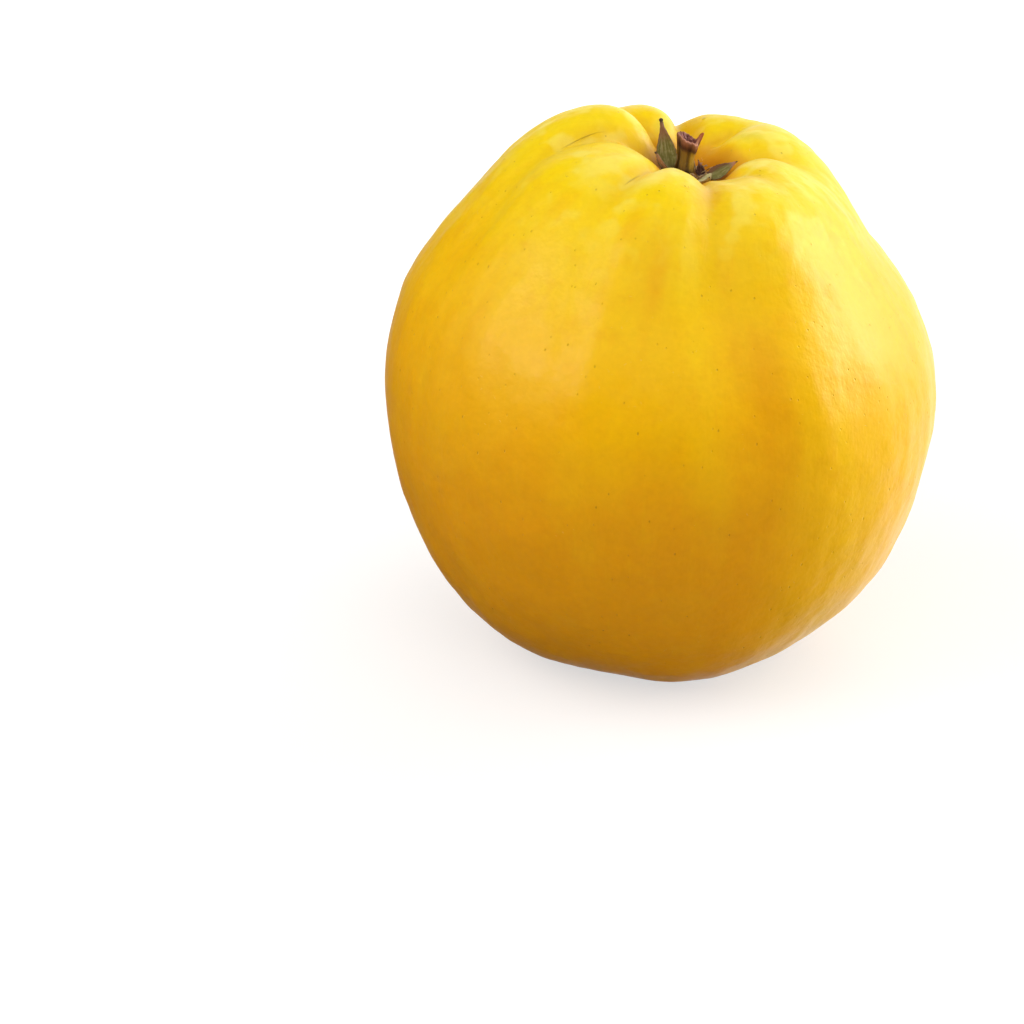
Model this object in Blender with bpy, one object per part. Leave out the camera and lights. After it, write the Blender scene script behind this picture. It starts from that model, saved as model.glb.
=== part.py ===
"""A whole quince, standing on its stem end with the withered calyx up.

Run with: blender --background --python part.py
Metres, +Z up. The origin is on the surface that the fruit stands on, below the middle of its box.
-Y is the front and +X the right. The fruit's core leans a little to the right of upright.

Every piece is first built about the upright core. stand() then leans them all as one and sets the
fruit on the ground.
"""

import math

import bmesh
import bpy
from mathutils import Matrix, Vector, noise

MM = 0.001

# The fruit. Its outline is a cubic B-spline over these (radius, height) points, in millimetres along the
# core: from the floor of the calyx basin over the crest, down the flank and into the stem cavity.
OUTLINE_MM = (
    (0.0, 83.3),
    (2.4, 83.3),
    (4.6, 83.4),
    (6.2, 84.7),
    (7.6, 88.1),
    (12.4, 90.9),
    (19.6, 90.3),
    (26.4, 86.4),
    (31.1, 79.4),
    (35.2, 71.8),
    (41.2, 65.4),
    (46.2, 56.0),
    (47.6, 44.5),
    (45.8, 31.5),
    (41.4, 17.6),
    (33.2, 6.6),
    (23.0, -0.2),
    (13.6, -0.8),
    (7.6, 4.6),
    (4.8, 10.4),
    (0.0, 11.2),
)
RINGS = 44
SEGMENTS = 72
CORE_LEAN = math.tan(math.radians(0.8))

# The crown sits a little to the right of the core, and slopes down to the right and to the front.
CROWN_SHIFT = Vector((4.0, 1.0)) * MM
CROWN_SLOPE = Vector((-0.087, 0.050))

# Furrows between the lobes of the calyx end: (angle about the core in degrees from +X, degrees that it
# swings round on its way down, depth in millimetres, angular half-width in degrees, how far down the
# outline it runs).
FURROWS = (
    (5, -6, 2.6, 10, 0.12),
    (63, -13, 2.8, 9, 0.07),
    (91, 0, 7.6, 7.5, 0.12),
    (132, 0, 3.0, 9, 0.10),
    (183, 15, 3.0, 10, 0.20),
    (236, 4, 2.8, 9.5, 0.19),
    (275, 8, 3.3, 10, 0.26),
    (314, 4, 2.0, 12, 0.16),
)
FURROW_SOFTNESS = 0.4
FURROW_START, FURROW_FULL = 0.11, 0.22

# Fuller and flatter places in the flesh: (angle in degrees, share of the way along the outline, push in
# millimetres, angular half-width in degrees, half-length as a share of the outline).
SWELLINGS = (
    (164, 0.26, 2.4, 26, 0.06),
    (180, 0.34, 1.3, 40, 0.07),
    (112, 0.24, 0.4, 14, 0.06),
    (186, 0.46, 3.5, 45, 0.08),
    (208, 0.24, -0.6, 16, 0.06),
    (350, 0.33, -2.6, 32, 0.08),
    (262, 0.33, 0.8, 22, 0.12),
    (296, 0.24, -2.0, 14, 0.06),
    (260, 0.23, -0.7, 14, 0.05),
    (305, 0.36, 0.7, 20, 0.12),
    (68, 0.24, -1.6, 22, 0.07),
    (250, 0.48, 0.5, 11, 0.10),
    (299, 0.54, 0.7, 9, 0.08),
)

# Shallow ribs round the stem cavity, so that the fruit stands on several small flat spots.
BASE_RIBS = 5
BASE_RIB_DEPTH = 0.9 * MM
BASE_RIB_PHASE = math.radians(20)
FLAT_SPOT_DEPTH = 0.45 * MM

# Slow unevenness of the flank: the size of its bumps and how far they push the skin.
BUMP_SIZE = 38 * MM
BUMP_PUSH = 0.9 * MM

# The calyx pieces are laid out from this place on the floor of the basin.
CALYX_MIDDLE = Vector((0.45, -0.8, 83.3)) * MM

# Sepals: four control points of a cubic curve from foot to tip, the way that the inner face looks, and
# the half-width at the broadest place, in millimetres.
SEPALS = {
    "sepal_left": (
        ((-4.5, 0.2, 1.3), (-5.0, 0.1, 3.6), (-5.3, 0.4, 6.5), (-6.1, 0.6, 9.9)), (0.25, -0.97, 0.0), 1.85,
    ),
    "sepal_right": (
        ((2.1, -1.0, 0.9), (3.9, -0.7, 1.8), (5.4, -0.2, 2.8), (7.0, 0.2, 3.7)), (0.0, -0.6, 0.8), 1.25,
    ),
    "sepal_front_right": (
        ((1.0, -1.9, 1.0), (1.5, -2.9, 1.2), (1.9, -3.9, 1.6), (2.1, -4.8, 2.4)), (-0.3, -0.4, 1.0), 1.5,
    ),
    "sepal_front_left": (
        ((-2.6, -2.2, 0.8), (-4.3, -2.6, 1.6), (-5.9, -2.1, 3.1), (-6.9, -1.5, 4.8)), (0.6, 0.3, 0.8), 0.9,
    ),
    "sepal_withered": (
        ((0.7, 0.5, 0.5), (1.0, 0.7, 1.2), (0.9, 0.8, 2.0), (0.4, 0.8, 3.2)), (0.2, -1.0, 0.2), 0.85,
    ),
}
SEPAL_STATIONS = 12
SEPAL_SECTION = 10
SEPAL_THICKNESS = 0.24 * MM
SEPAL_CUP = 0.30
SEPAL_FOOT_SHARE = 0.5
SEPAL_BROADEST_AT = 0.30
SEPAL_TIP_RADIUS = 0.10 * MM
GLAND_RADIUS = 0.36 * MM
GLAND_LENGTH_SHARE = 0.07

# The withered styles, grown together into one grooved column with a dished top.
COLUMN_FOOT = Vector((-1.8, 1.5, 0.5)) * MM
COLUMN_TOP = Vector((-1.3, 1.3, 6.3)) * MM
COLUMN_FOOT_RADIUS = 1.8 * MM
COLUMN_WAIST_RADIUS = 1.55 * MM
COLUMN_TOP_RADIUS = 1.9 * MM
COLUMN_RINGS = 8
COLUMN_SEGMENTS = 30
STYLES = 5
STYLE_GROOVE_SHARE = 0.12
STYLE_GROOVE_ANGLE = math.radians(283)
CUP_RIM_THICKNESS = 0.65 * MM
CUP_DEPTH = 0.7 * MM
CUP_NARROWING = 0.5
CUP_RINGS = 3
CUP_TILT = Vector((-0.44, 0.07))
SPUR_ANGLE = math.radians(8)
SPUR_HALF_WIDTH = math.radians(13)
SPUR_RISE = 2.1 * MM
SPUR_REACH = 1.0 * MM

# The stub of the stem, sunk in its cavity with a ragged broader end.
STEM_ROOT_HEIGHT = 10.3 * MM
STEM_END_HEIGHT = 2.6 * MM
STEM_ROOT_RADIUS = 1.7 * MM
STEM_END_RADIUS = 2.9 * MM
STEM_RINGS = 7
STEM_SEGMENTS = 24
STEM_RAGGEDNESS = 0.9 * MM
STEM_GRAIN_SIZE = 1.6 * MM

# Finishes: (colour in linear light, roughness). None of them is metal.
FINISHES = {
    "fruit": ((0.84, 0.49, 0.012), 0.42),
    "sepal_left": ((0.20, 0.18, 0.065), 0.72),
    "sepal_right": ((0.17, 0.15, 0.055), 0.72),
    "sepal_front_right": ((0.34, 0.31, 0.13), 0.70),
    "sepal_front_left": ((0.26, 0.17, 0.065), 0.78),
    "sepal_withered": ((0.075, 0.028, 0.014), 0.80),
    "style_column": ((0.16, 0.095, 0.022), 0.76),
    "stem_stub": ((0.24, 0.15, 0.055), 0.85),
}


def smooth_step(low, high, value):
    """0 below low, 1 above high and an S-curve between."""
    share = min(max((value - low) / (high - low), 0.0), 1.0)
    return share * share * (3 - 2 * share)


def outline_point(share):
    """(radius, height, outward normal in the radius-height plane) at a share of the way along the outline."""
    points = [Vector(p) * MM for p in OUTLINE_MM]
    first, last = points[1], points[-2]
    points = [Vector((-first.x, first.y)), *points, Vector((-last.x, last.y))]
    spans = len(points) - 3
    place = min(share * spans, spans - 1e-9)
    span = int(place)
    t = place - span
    a, b, c, d = points[span : span + 4]
    point = (
        a * (1 - t) ** 3
        + b * (3 * t**3 - 6 * t**2 + 4)
        + c * (-3 * t**3 + 3 * t**2 + 3 * t + 1)
        + d * t**3
    ) / 6
    along = (
        -a * (1 - t) ** 2
        + b * (3 * t**2 - 4 * t)
        + c * (-3 * t**2 + 2 * t + 1)
        + d * t**2
    ) / 2
    return point.x, point.y, Vector((-along.y, along.x)).normalized()


def furrow_depth(share, angle):
    """How far the furrows pull the skin in at this place, in metres."""
    depth = 0.0
    rise = smooth_step(FURROW_START, FURROW_FULL, share)
    for middle, swing, full, half_width, reach in FURROWS:
        middle += swing * (share - FURROW_FULL) / reach
        apart = math.remainder(angle - math.radians(middle), 2 * math.pi)
        across = apart / math.radians(half_width)
        across = math.exp(FURROW_SOFTNESS - math.hypot(across, FURROW_SOFTNESS))
        down = math.exp(-((max(share - FURROW_FULL, 0.0) / reach) ** 2))
        depth += full * MM * across * rise * down
    return depth


def swelling(share, angle):
    """How far the fuller places push the skin out, in metres."""
    push = 0.0
    for middle, along, full, half_width, half_length in SWELLINGS:
        apart = math.remainder(angle - math.radians(middle), 2 * math.pi)
        across = apart / math.radians(half_width)
        down = (share - along) / half_length
        push += full * MM * math.exp(-(across**2) - down**2)
    return push


def base_rib_depth(share, angle):
    """How far the shallow ribs round the stem cavity pull the skin in, in metres."""
    ring = smooth_step(0.62, 0.80, share) * (1 - smooth_step(0.86, 0.93, share))
    return BASE_RIB_DEPTH * ring * (1 - math.cos(BASE_RIBS * angle + BASE_RIB_PHASE)) / 2


def shape_crown(point, crown):
    """Slopes and shifts a point as the crown is, by a share from 0 (below it) to 1 (in it)."""
    point.z += point.xy.dot(CROWN_SLOPE) * crown
    point.xy += CROWN_SHIFT * crown
    return point


def skin_point(share, angle):
    """A point of the skin, before the core leans."""
    radius, height, normal = outline_point(share)
    push = swelling(share, angle) - furrow_depth(share, angle) - base_rib_depth(share, angle)
    push_up = normal * push
    radius, height = radius + push_up.x, height + push_up.y
    point = Vector((radius * math.cos(angle), radius * math.sin(angle), height))
    flank = smooth_step(0.20, 0.40, share) * (1 - smooth_step(0.70, 0.85, share))
    out = Vector((normal.x * math.cos(angle), normal.x * math.sin(angle), normal.y))
    point += out * noise.noise(point / BUMP_SIZE) * BUMP_PUSH * flank
    return shape_crown(point, 1 - smooth_step(0.24, 0.46, share))


def closed_rings(first, rings, last):
    """Closed mesh through rings of points, with a fan to one point at each end."""
    mesh = bmesh.new()
    start = mesh.verts.new(first)
    loops = [[mesh.verts.new(p) for p in ring] for ring in rings]
    end = mesh.verts.new(last)
    count = len(loops[0])
    for step in range(count):
        after = (step + 1) % count
        mesh.faces.new((start, loops[0][step], loops[0][after]))
        mesh.faces.new((end, loops[-1][after], loops[-1][step]))
        for upper, lower in zip(loops, loops[1:]):
            mesh.faces.new((upper[step], lower[step], lower[after], upper[after]))
    bmesh.ops.recalc_face_normals(mesh, faces=mesh.faces)
    return mesh


def turns(count):
    """Evenly spaced angles once round."""
    return [2 * math.pi * step / count for step in range(count)]


def fruit():
    """The skin, from the middle of the basin's floor to the middle of the stem cavity."""
    rings = [[skin_point(ring / RINGS, angle) for angle in turns(SEGMENTS)] for ring in range(1, RINGS)]
    return closed_rings(skin_point(0, 0), rings, skin_point(1, 0))


def cubic(points, t):
    """(point, direction) at t on a cubic curve with four control points."""
    a, b, c, d = points
    point = a * (1 - t) ** 3 + b * 3 * t * (1 - t) ** 2 + c * 3 * t**2 * (1 - t) + d * t**3
    along = (b - a) * (1 - t) ** 2 + (c - b) * 2 * t * (1 - t) + (d - c) * t**2
    return point, along.normalized()


def sepal_half_width(t, broadest):
    """Half-width of a sepal: rounded at the foot, broadest low down and tapering to a point."""
    if t < SEPAL_BROADEST_AT:
        foot = SEPAL_FOOT_SHARE
        return broadest * (foot + (1 - foot) * math.sin(math.pi / 2 * t / SEPAL_BROADEST_AT))
    taper = (t - SEPAL_BROADEST_AT) / (1 - SEPAL_BROADEST_AT)
    return max(broadest * (1 - smooth_step(0.0, 1.12, taper)), SEPAL_TIP_RADIUS)


def sepal(points, face, broadest, tip_radius):
    """A thin cupped blade along a curve, ending in a round tip."""
    points = [Vector(p) * MM for p in points]
    rings = []
    shares = [step / SEPAL_STATIONS for step in range(SEPAL_STATIONS)]
    shares += [1 - GLAND_LENGTH_SHARE * part for part in (0.85, 0.5, 0.15)]
    for t in sorted(shares):
        middle, along = cubic(points, t)
        side = along.cross(Vector(face)).normalized()
        inward = side.cross(along)
        half = sepal_half_width(t, broadest * MM)
        thick = SEPAL_THICKNESS
        if t > 1 - GLAND_LENGTH_SHARE:
            bulge = math.sin(math.pi * (1 - t) / GLAND_LENGTH_SHARE)
            half = thick = tip_radius * (0.4 + 0.6 * bulge)
        thick = min(thick, half)
        ring = []
        for turn in turns(SEPAL_SECTION):
            across = math.cos(turn)
            cup = SEPAL_CUP * half * (across**2 - 0.5)
            ring.append(middle + side * half * across + inward * (thick * math.sin(turn) + cup))
        rings.append(ring)
    tip, _ = cubic(points, 1)
    foot = sum(rings[0], Vector()) / SEPAL_SECTION
    return closed_rings(foot, rings, tip)


def column_radius(t):
    """Radius of the style column at a share of its height."""
    waist = COLUMN_WAIST_RADIUS
    low = (COLUMN_FOOT_RADIUS - waist) * (1 - smooth_step(0.0, 0.5, t))
    high = (COLUMN_TOP_RADIUS - waist) * smooth_step(0.5, 1.0, t)
    return waist + low + high


def column_point(t, angle, radius, sink):
    """A point of the style column at a share of its height, sunk below that height by a distance."""
    middle = COLUMN_FOOT.lerp(COLUMN_TOP, t)
    out = Vector((math.cos(angle), math.sin(angle)))
    point = middle + Vector((*(out * radius), -sink))
    point.z += out.dot(CUP_TILT) * radius * smooth_step(0.35, 1.0, t)
    away = math.remainder(angle - SPUR_ANGLE, 2 * math.pi) / SPUR_HALF_WIDTH
    spur = math.exp(-(away**2)) * smooth_step(0.8, 1.0, t)
    return point + Vector((SPUR_REACH, 0, SPUR_RISE)) * spur * radius / COLUMN_TOP_RADIUS


def style_column():
    """Withered styles grown together: grooved outside, dished at the top, with a spur on the rim."""
    rings = []
    for ring in range(COLUMN_RINGS + 1):
        t = ring / COLUMN_RINGS
        around = []
        for angle in turns(COLUMN_SEGMENTS):
            groove = (1 + math.cos(STYLES * (angle - STYLE_GROOVE_ANGLE))) / 2
            radius = column_radius(t) * (1 - STYLE_GROOVE_SHARE * groove)
            around.append(column_point(t, angle, radius, 0.0))
        rings.append(around)
    for ring in range(CUP_RINGS):
        down = ring / CUP_RINGS
        radius = (COLUMN_TOP_RADIUS - CUP_RIM_THICKNESS) * (1 - CUP_NARROWING * down)
        rings.append([column_point(1.0, angle, radius, CUP_DEPTH * down) for angle in turns(COLUMN_SEGMENTS)])
    return closed_rings(COLUMN_FOOT, rings, COLUMN_TOP - Vector((0, 0, CUP_DEPTH)))


def stem_stub():
    """The stub of the stem, flaring down to a ragged end inside its cavity."""
    rings = []
    for ring in range(STEM_RINGS + 1):
        t = ring / STEM_RINGS
        radius = STEM_ROOT_RADIUS + (STEM_END_RADIUS - STEM_ROOT_RADIUS) * smooth_step(0.3, 1.0, t)
        height = STEM_ROOT_HEIGHT + (STEM_END_HEIGHT - STEM_ROOT_HEIGHT) * t
        around = []
        for angle in turns(STEM_SEGMENTS):
            out = Vector((math.cos(angle), math.sin(angle), 0)) * radius
            rough = noise.noise(out / STEM_GRAIN_SIZE) * STEM_RAGGEDNESS * t
            around.append(out * (1 + rough / STEM_END_RADIUS) + Vector((0, 0, height + rough * t)))
        rings.append(around)
    root = Vector((0, 0, STEM_ROOT_HEIGHT))
    end = Vector((0, 0, STEM_END_HEIGHT + STEM_RAGGEDNESS))
    return closed_rings(root, rings, end)


def into_basin(mesh):
    """Carries a calyx piece to its place in the crown."""
    for v in mesh.verts:
        v.co = shape_crown(v.co + CALYX_MIDDLE, 1.0)
    return mesh


def stand(meshes):
    """Leans every piece with the core, sets the fruit on the ground and presses flat spots into it."""
    lean = Matrix(((1, 0, CORE_LEAN, 0), (0, 1, 0, 0), (0, 0, 1, 0), (0, 0, 0, 1)))
    for mesh in meshes.values():
        bmesh.ops.transform(mesh, matrix=lean, verts=mesh.verts)
    skin = meshes["fruit"].verts
    low, high = (Vector(map(end, zip(*(v.co for v in skin)))) for end in (min, max))
    middle = (low + high) / 2
    ground = low.z + FLAT_SPOT_DEPTH
    for mesh in meshes.values():
        bmesh.ops.translate(mesh, vec=(-middle.x, -middle.y, -ground), verts=mesh.verts)
    for v in skin:
        v.co.z = max(v.co.z, 0.0)


def finish(name):
    """The piece's own plain material."""
    colour, roughness = FINISHES[name]
    made = bpy.data.materials.new(f"{name}_finish")
    made.use_nodes = True
    shader = made.node_tree.nodes["Principled BSDF"]
    shader.inputs["Base Color"].default_value = (*colour, 1)
    shader.inputs["Roughness"].default_value = roughness
    shader.inputs["Metallic"].default_value = 0
    made.diffuse_color = (*colour, 1)
    return made


def add(name, mesh):
    """Turns a bmesh into a named, smooth-shaded object in the scene."""
    data = bpy.data.meshes.new(name)
    mesh.to_mesh(data)
    mesh.free()
    data.shade_smooth()
    data.materials.append(finish(name))
    made = bpy.data.objects.new(name, data)
    bpy.context.scene.collection.objects.link(made)


def main():
    """Builds every piece about the upright core, stands them up and adds them to the scene."""
    for old in list(bpy.data.objects):
        bpy.data.objects.remove(old)
    meshes = {"fruit": fruit(), "style_column": into_basin(style_column())}
    for name, (points, face, broadest) in SEPALS.items():
        tip_radius = GLAND_RADIUS if name == "sepal_left" else SEPAL_TIP_RADIUS
        meshes[name] = into_basin(sepal(points, face, broadest, tip_radius))
    meshes["stem_stub"] = stem_stub()
    stand(meshes)
    for name, mesh in meshes.items():
        add(name, mesh)


main()
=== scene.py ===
"""Looks of a whole ripe quince, standing on its stem end with the withered calyx up.

The skin, the five sepals, the column of withered styles, the dried stamens, the stem stub and the down
are each made by a geometry-nodes tree, turned into a plain mesh and dressed in a finish of its own.
Metres, +Z up, -Y is the front and +X the right. Tables of points and fields named _mm hold millimetres,
and the angles of places on the skin are degrees round the core, from +X towards +Y.
"""

import logging
import math
from dataclasses import dataclass, field
from enum import Enum
from typing import ClassVar, Union

import bpy
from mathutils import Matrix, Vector


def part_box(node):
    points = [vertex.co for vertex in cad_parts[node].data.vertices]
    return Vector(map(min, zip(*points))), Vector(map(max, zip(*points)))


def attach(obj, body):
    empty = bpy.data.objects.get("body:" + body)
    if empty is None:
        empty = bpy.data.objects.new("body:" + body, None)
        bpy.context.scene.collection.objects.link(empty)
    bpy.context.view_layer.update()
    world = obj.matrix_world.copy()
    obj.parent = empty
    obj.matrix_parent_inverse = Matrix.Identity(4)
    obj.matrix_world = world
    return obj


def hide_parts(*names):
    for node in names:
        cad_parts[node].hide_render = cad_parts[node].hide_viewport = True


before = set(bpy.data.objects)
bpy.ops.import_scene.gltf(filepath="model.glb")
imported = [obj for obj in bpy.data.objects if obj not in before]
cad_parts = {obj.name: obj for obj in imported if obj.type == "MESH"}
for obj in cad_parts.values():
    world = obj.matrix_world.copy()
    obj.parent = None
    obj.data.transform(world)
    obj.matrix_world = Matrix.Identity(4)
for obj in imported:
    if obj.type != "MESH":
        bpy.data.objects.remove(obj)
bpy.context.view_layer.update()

LOG = logging.getLogger("quince")
MM = 0.001
WELD = 1e-6
TURN = 2 * math.pi

Number = Union["Value", float, int]
Pair = tuple[float, float]
Triple = tuple[float, float, float]


def tone(red: int, green: int, blue: int) -> Triple:
    """Linear light for a colour given in display steps.

    Args:
        red: display red, 0 to 255.
        green: display green, 0 to 255.
        blue: display blue, 0 to 255.

    Returns:
        The same colour in linear light, 0 to 1.
    """
    shares = [step / 255 for step in (red, green, blue)]
    return tuple(s / 12.92 if s <= 0.04045 else ((s + 0.055) / 1.055) ** 2.4 for s in shares)


# ---------------------------------------------------------------------------------------------------
# Node trees
# ---------------------------------------------------------------------------------------------------


@dataclass(frozen=True)
class Value:
    """One output of a node, with arithmetic that adds further nodes to its tree."""

    graph: "Graph"
    socket: bpy.types.NodeSocket

    @property
    def is_vector(self) -> bool:
        """Whether the output carries three numbers."""
        return self.socket.type in ("VECTOR", "RGBA")

    def __add__(self, other: Number) -> "Value":
        """Sum of the two."""
        return self.graph.pair("ADD", self, other)

    def __radd__(self, other: Number) -> "Value":
        """Sum of the two."""
        return self.graph.pair("ADD", other, self)

    def __sub__(self, other: Number) -> "Value":
        """Difference of the two."""
        return self.graph.pair("SUBTRACT", self, other)

    def __rsub__(self, other: Number) -> "Value":
        """Difference of the two."""
        return self.graph.pair("SUBTRACT", other, self)

    def __mul__(self, other: Number) -> "Value":
        """Product of the two; a vector times a number is scaled by it."""
        return self.graph.product(self, other)

    def __rmul__(self, other: Number) -> "Value":
        """Product of the two; a vector times a number is scaled by it."""
        return self.graph.product(self, other)

    def __truediv__(self, other: Number) -> "Value":
        """Quotient of two numbers."""
        return self.graph.maths("DIVIDE", self, other)

    def __rtruediv__(self, other: Number) -> "Value":
        """Quotient of two numbers."""
        return self.graph.maths("DIVIDE", other, self)


class Graph:
    """Adds nodes to one tree and links them."""

    def __init__(self, tree: bpy.types.NodeTree) -> None:
        """Takes the tree that the nodes go into."""
        self.tree = tree

    def add(self, kind: str, inputs: dict, **settings: object) -> bpy.types.Node:
        """Adds a node.

        Args:
            kind: the node's type name.
            inputs: what goes into its inputs, by index or identifier: a Value or a plain setting.
            **settings: the node's own properties.

        Returns:
            The new node.
        """
        node = self.tree.nodes.new(kind)
        for name, setting in settings.items():
            setattr(node, name, setting)
        for key, given in inputs.items():
            sockets = {s.identifier: s for s in node.inputs}
            socket = node.inputs[key] if isinstance(key, int) else sockets[key]
            if isinstance(given, Value):
                self.tree.links.new(given.socket, socket)
            else:
                socket.default_value = given
        return node

    def out(self, node: bpy.types.Node, output: Union[int, str] = 0) -> Value:
        """One output of a node, by index or name."""
        return Value(self, node.outputs[output])

    def value(self, kind: str, inputs: dict, output: Union[int, str] = 0, **settings: object) -> Value:
        """One output of a new node; the other arguments are add's."""
        return self.out(self.add(kind, inputs, **settings), output)

    def maths(self, operation: str, *values: Number) -> Value:
        """Result of a Math node on numbers."""
        return self.value("ShaderNodeMath", dict(enumerate(values)), operation=operation)

    def vector(self, operation: str, *values: object) -> Value:
        """Result of a Vector Math node whose answer is a vector."""
        return self.value("ShaderNodeVectorMath", dict(enumerate(values)), operation=operation)

    def measure(self, operation: str, *values: object) -> Value:
        """Result of a Vector Math node whose answer is a number."""
        return self.value("ShaderNodeVectorMath", dict(enumerate(values)), "Value", operation=operation)

    def pair(self, operation: str, first: Number, second: Number) -> Value:
        """Sum or difference of two numbers or of two vectors."""
        vectors = any(isinstance(v, Value) and v.is_vector for v in (first, second))
        return (self.vector if vectors else self.maths)(operation, first, second)

    def product(self, first: Value, second: Number) -> Value:
        """Product of two numbers, of two vectors, or of a vector and a number.

        Args:
            first: a number or a vector.
            second: a number or a vector.

        Returns:
            The product: a vector where either of them is one.
        """
        if not first.is_vector and isinstance(second, Value) and second.is_vector:
            first, second = second, first
        if not first.is_vector:
            return self.maths("MULTIPLY", first, second)
        if isinstance(second, tuple) or (isinstance(second, Value) and second.is_vector):
            return self.vector("MULTIPLY", first, second)
        return self.value("ShaderNodeVectorMath", {0: first, "Scale": second}, operation="SCALE")

    def join(self, x: Number, y: Number, z: Number) -> Value:
        """A vector of three numbers."""
        return self.value("ShaderNodeCombineXYZ", {0: x, 1: y, 2: z})

    def split(self, vector: Value) -> tuple[Value, Value, Value]:
        """The three numbers of a vector."""
        node = self.add("ShaderNodeSeparateXYZ", {0: vector})
        return self.out(node, 0), self.out(node, 1), self.out(node, 2)

    def smooth_step(self, low: Number, high: Number, value: Number) -> Value:
        """0 below low, 1 above high and an S-curve between; turned round where low is above high."""
        inputs = {"Value": value, "From Min": low, "From Max": high}
        return self.value("ShaderNodeMapRange", inputs, interpolation_type="SMOOTHSTEP")

    def between(self, rise: Pair, fall: Pair, value: Number) -> Value:
        """1 between two edges and 0 beyond them, by one smooth step up and one down."""
        return self.smooth_step(*rise, value) * self.smooth_step(*fall, value)

    def bell(self, away: Value) -> Value:
        """1 in the middle, falling off on both sides as exp(-away squared)."""
        return self.maths("EXPONENT", away * away * -1.0)

    def wrap(self, angle: Number) -> Value:
        """The same angle between minus and plus half a turn."""
        return self.maths("WRAP", angle, math.pi, -math.pi)

    def noise(self, place: Value, size: Number, detail: float = 0.0, roughness: float = 0.5) -> Value:
        """Cloudy noise around zero, about -1 to 1.

        Args:
            place: where it is read.
            size: size of its clouds, in the unit of place.
            detail: octaves of finer clouds added.
            roughness: how strong those finer clouds are.

        Returns:
            The noise.
        """
        inputs = {"Vector": place, "Scale": 1.0 / size, "Detail": detail, "Roughness": roughness}
        return self.value("ShaderNodeTexNoise", inputs) * 2.0 - 1.0

    def cells(self, place: Value, size: float, feature: str = "F1") -> bpy.types.Node:
        """A Voronoi node of cells of a size, in the unit of place."""
        return self.add("ShaderNodeTexVoronoi", {"Vector": place, "Scale": 1.0 / size}, feature=feature)


@dataclass(frozen=True)
class Turning:
    """A sheet that is being turned from an outline, and what is known at each of its points.

    ring is the number of the outline's point that it comes from, and spot is that point.
    """

    outline: Value
    sheet: Value
    ring: Value
    angle: Value
    cosine: Value
    sine: Value
    spot: Value


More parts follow.
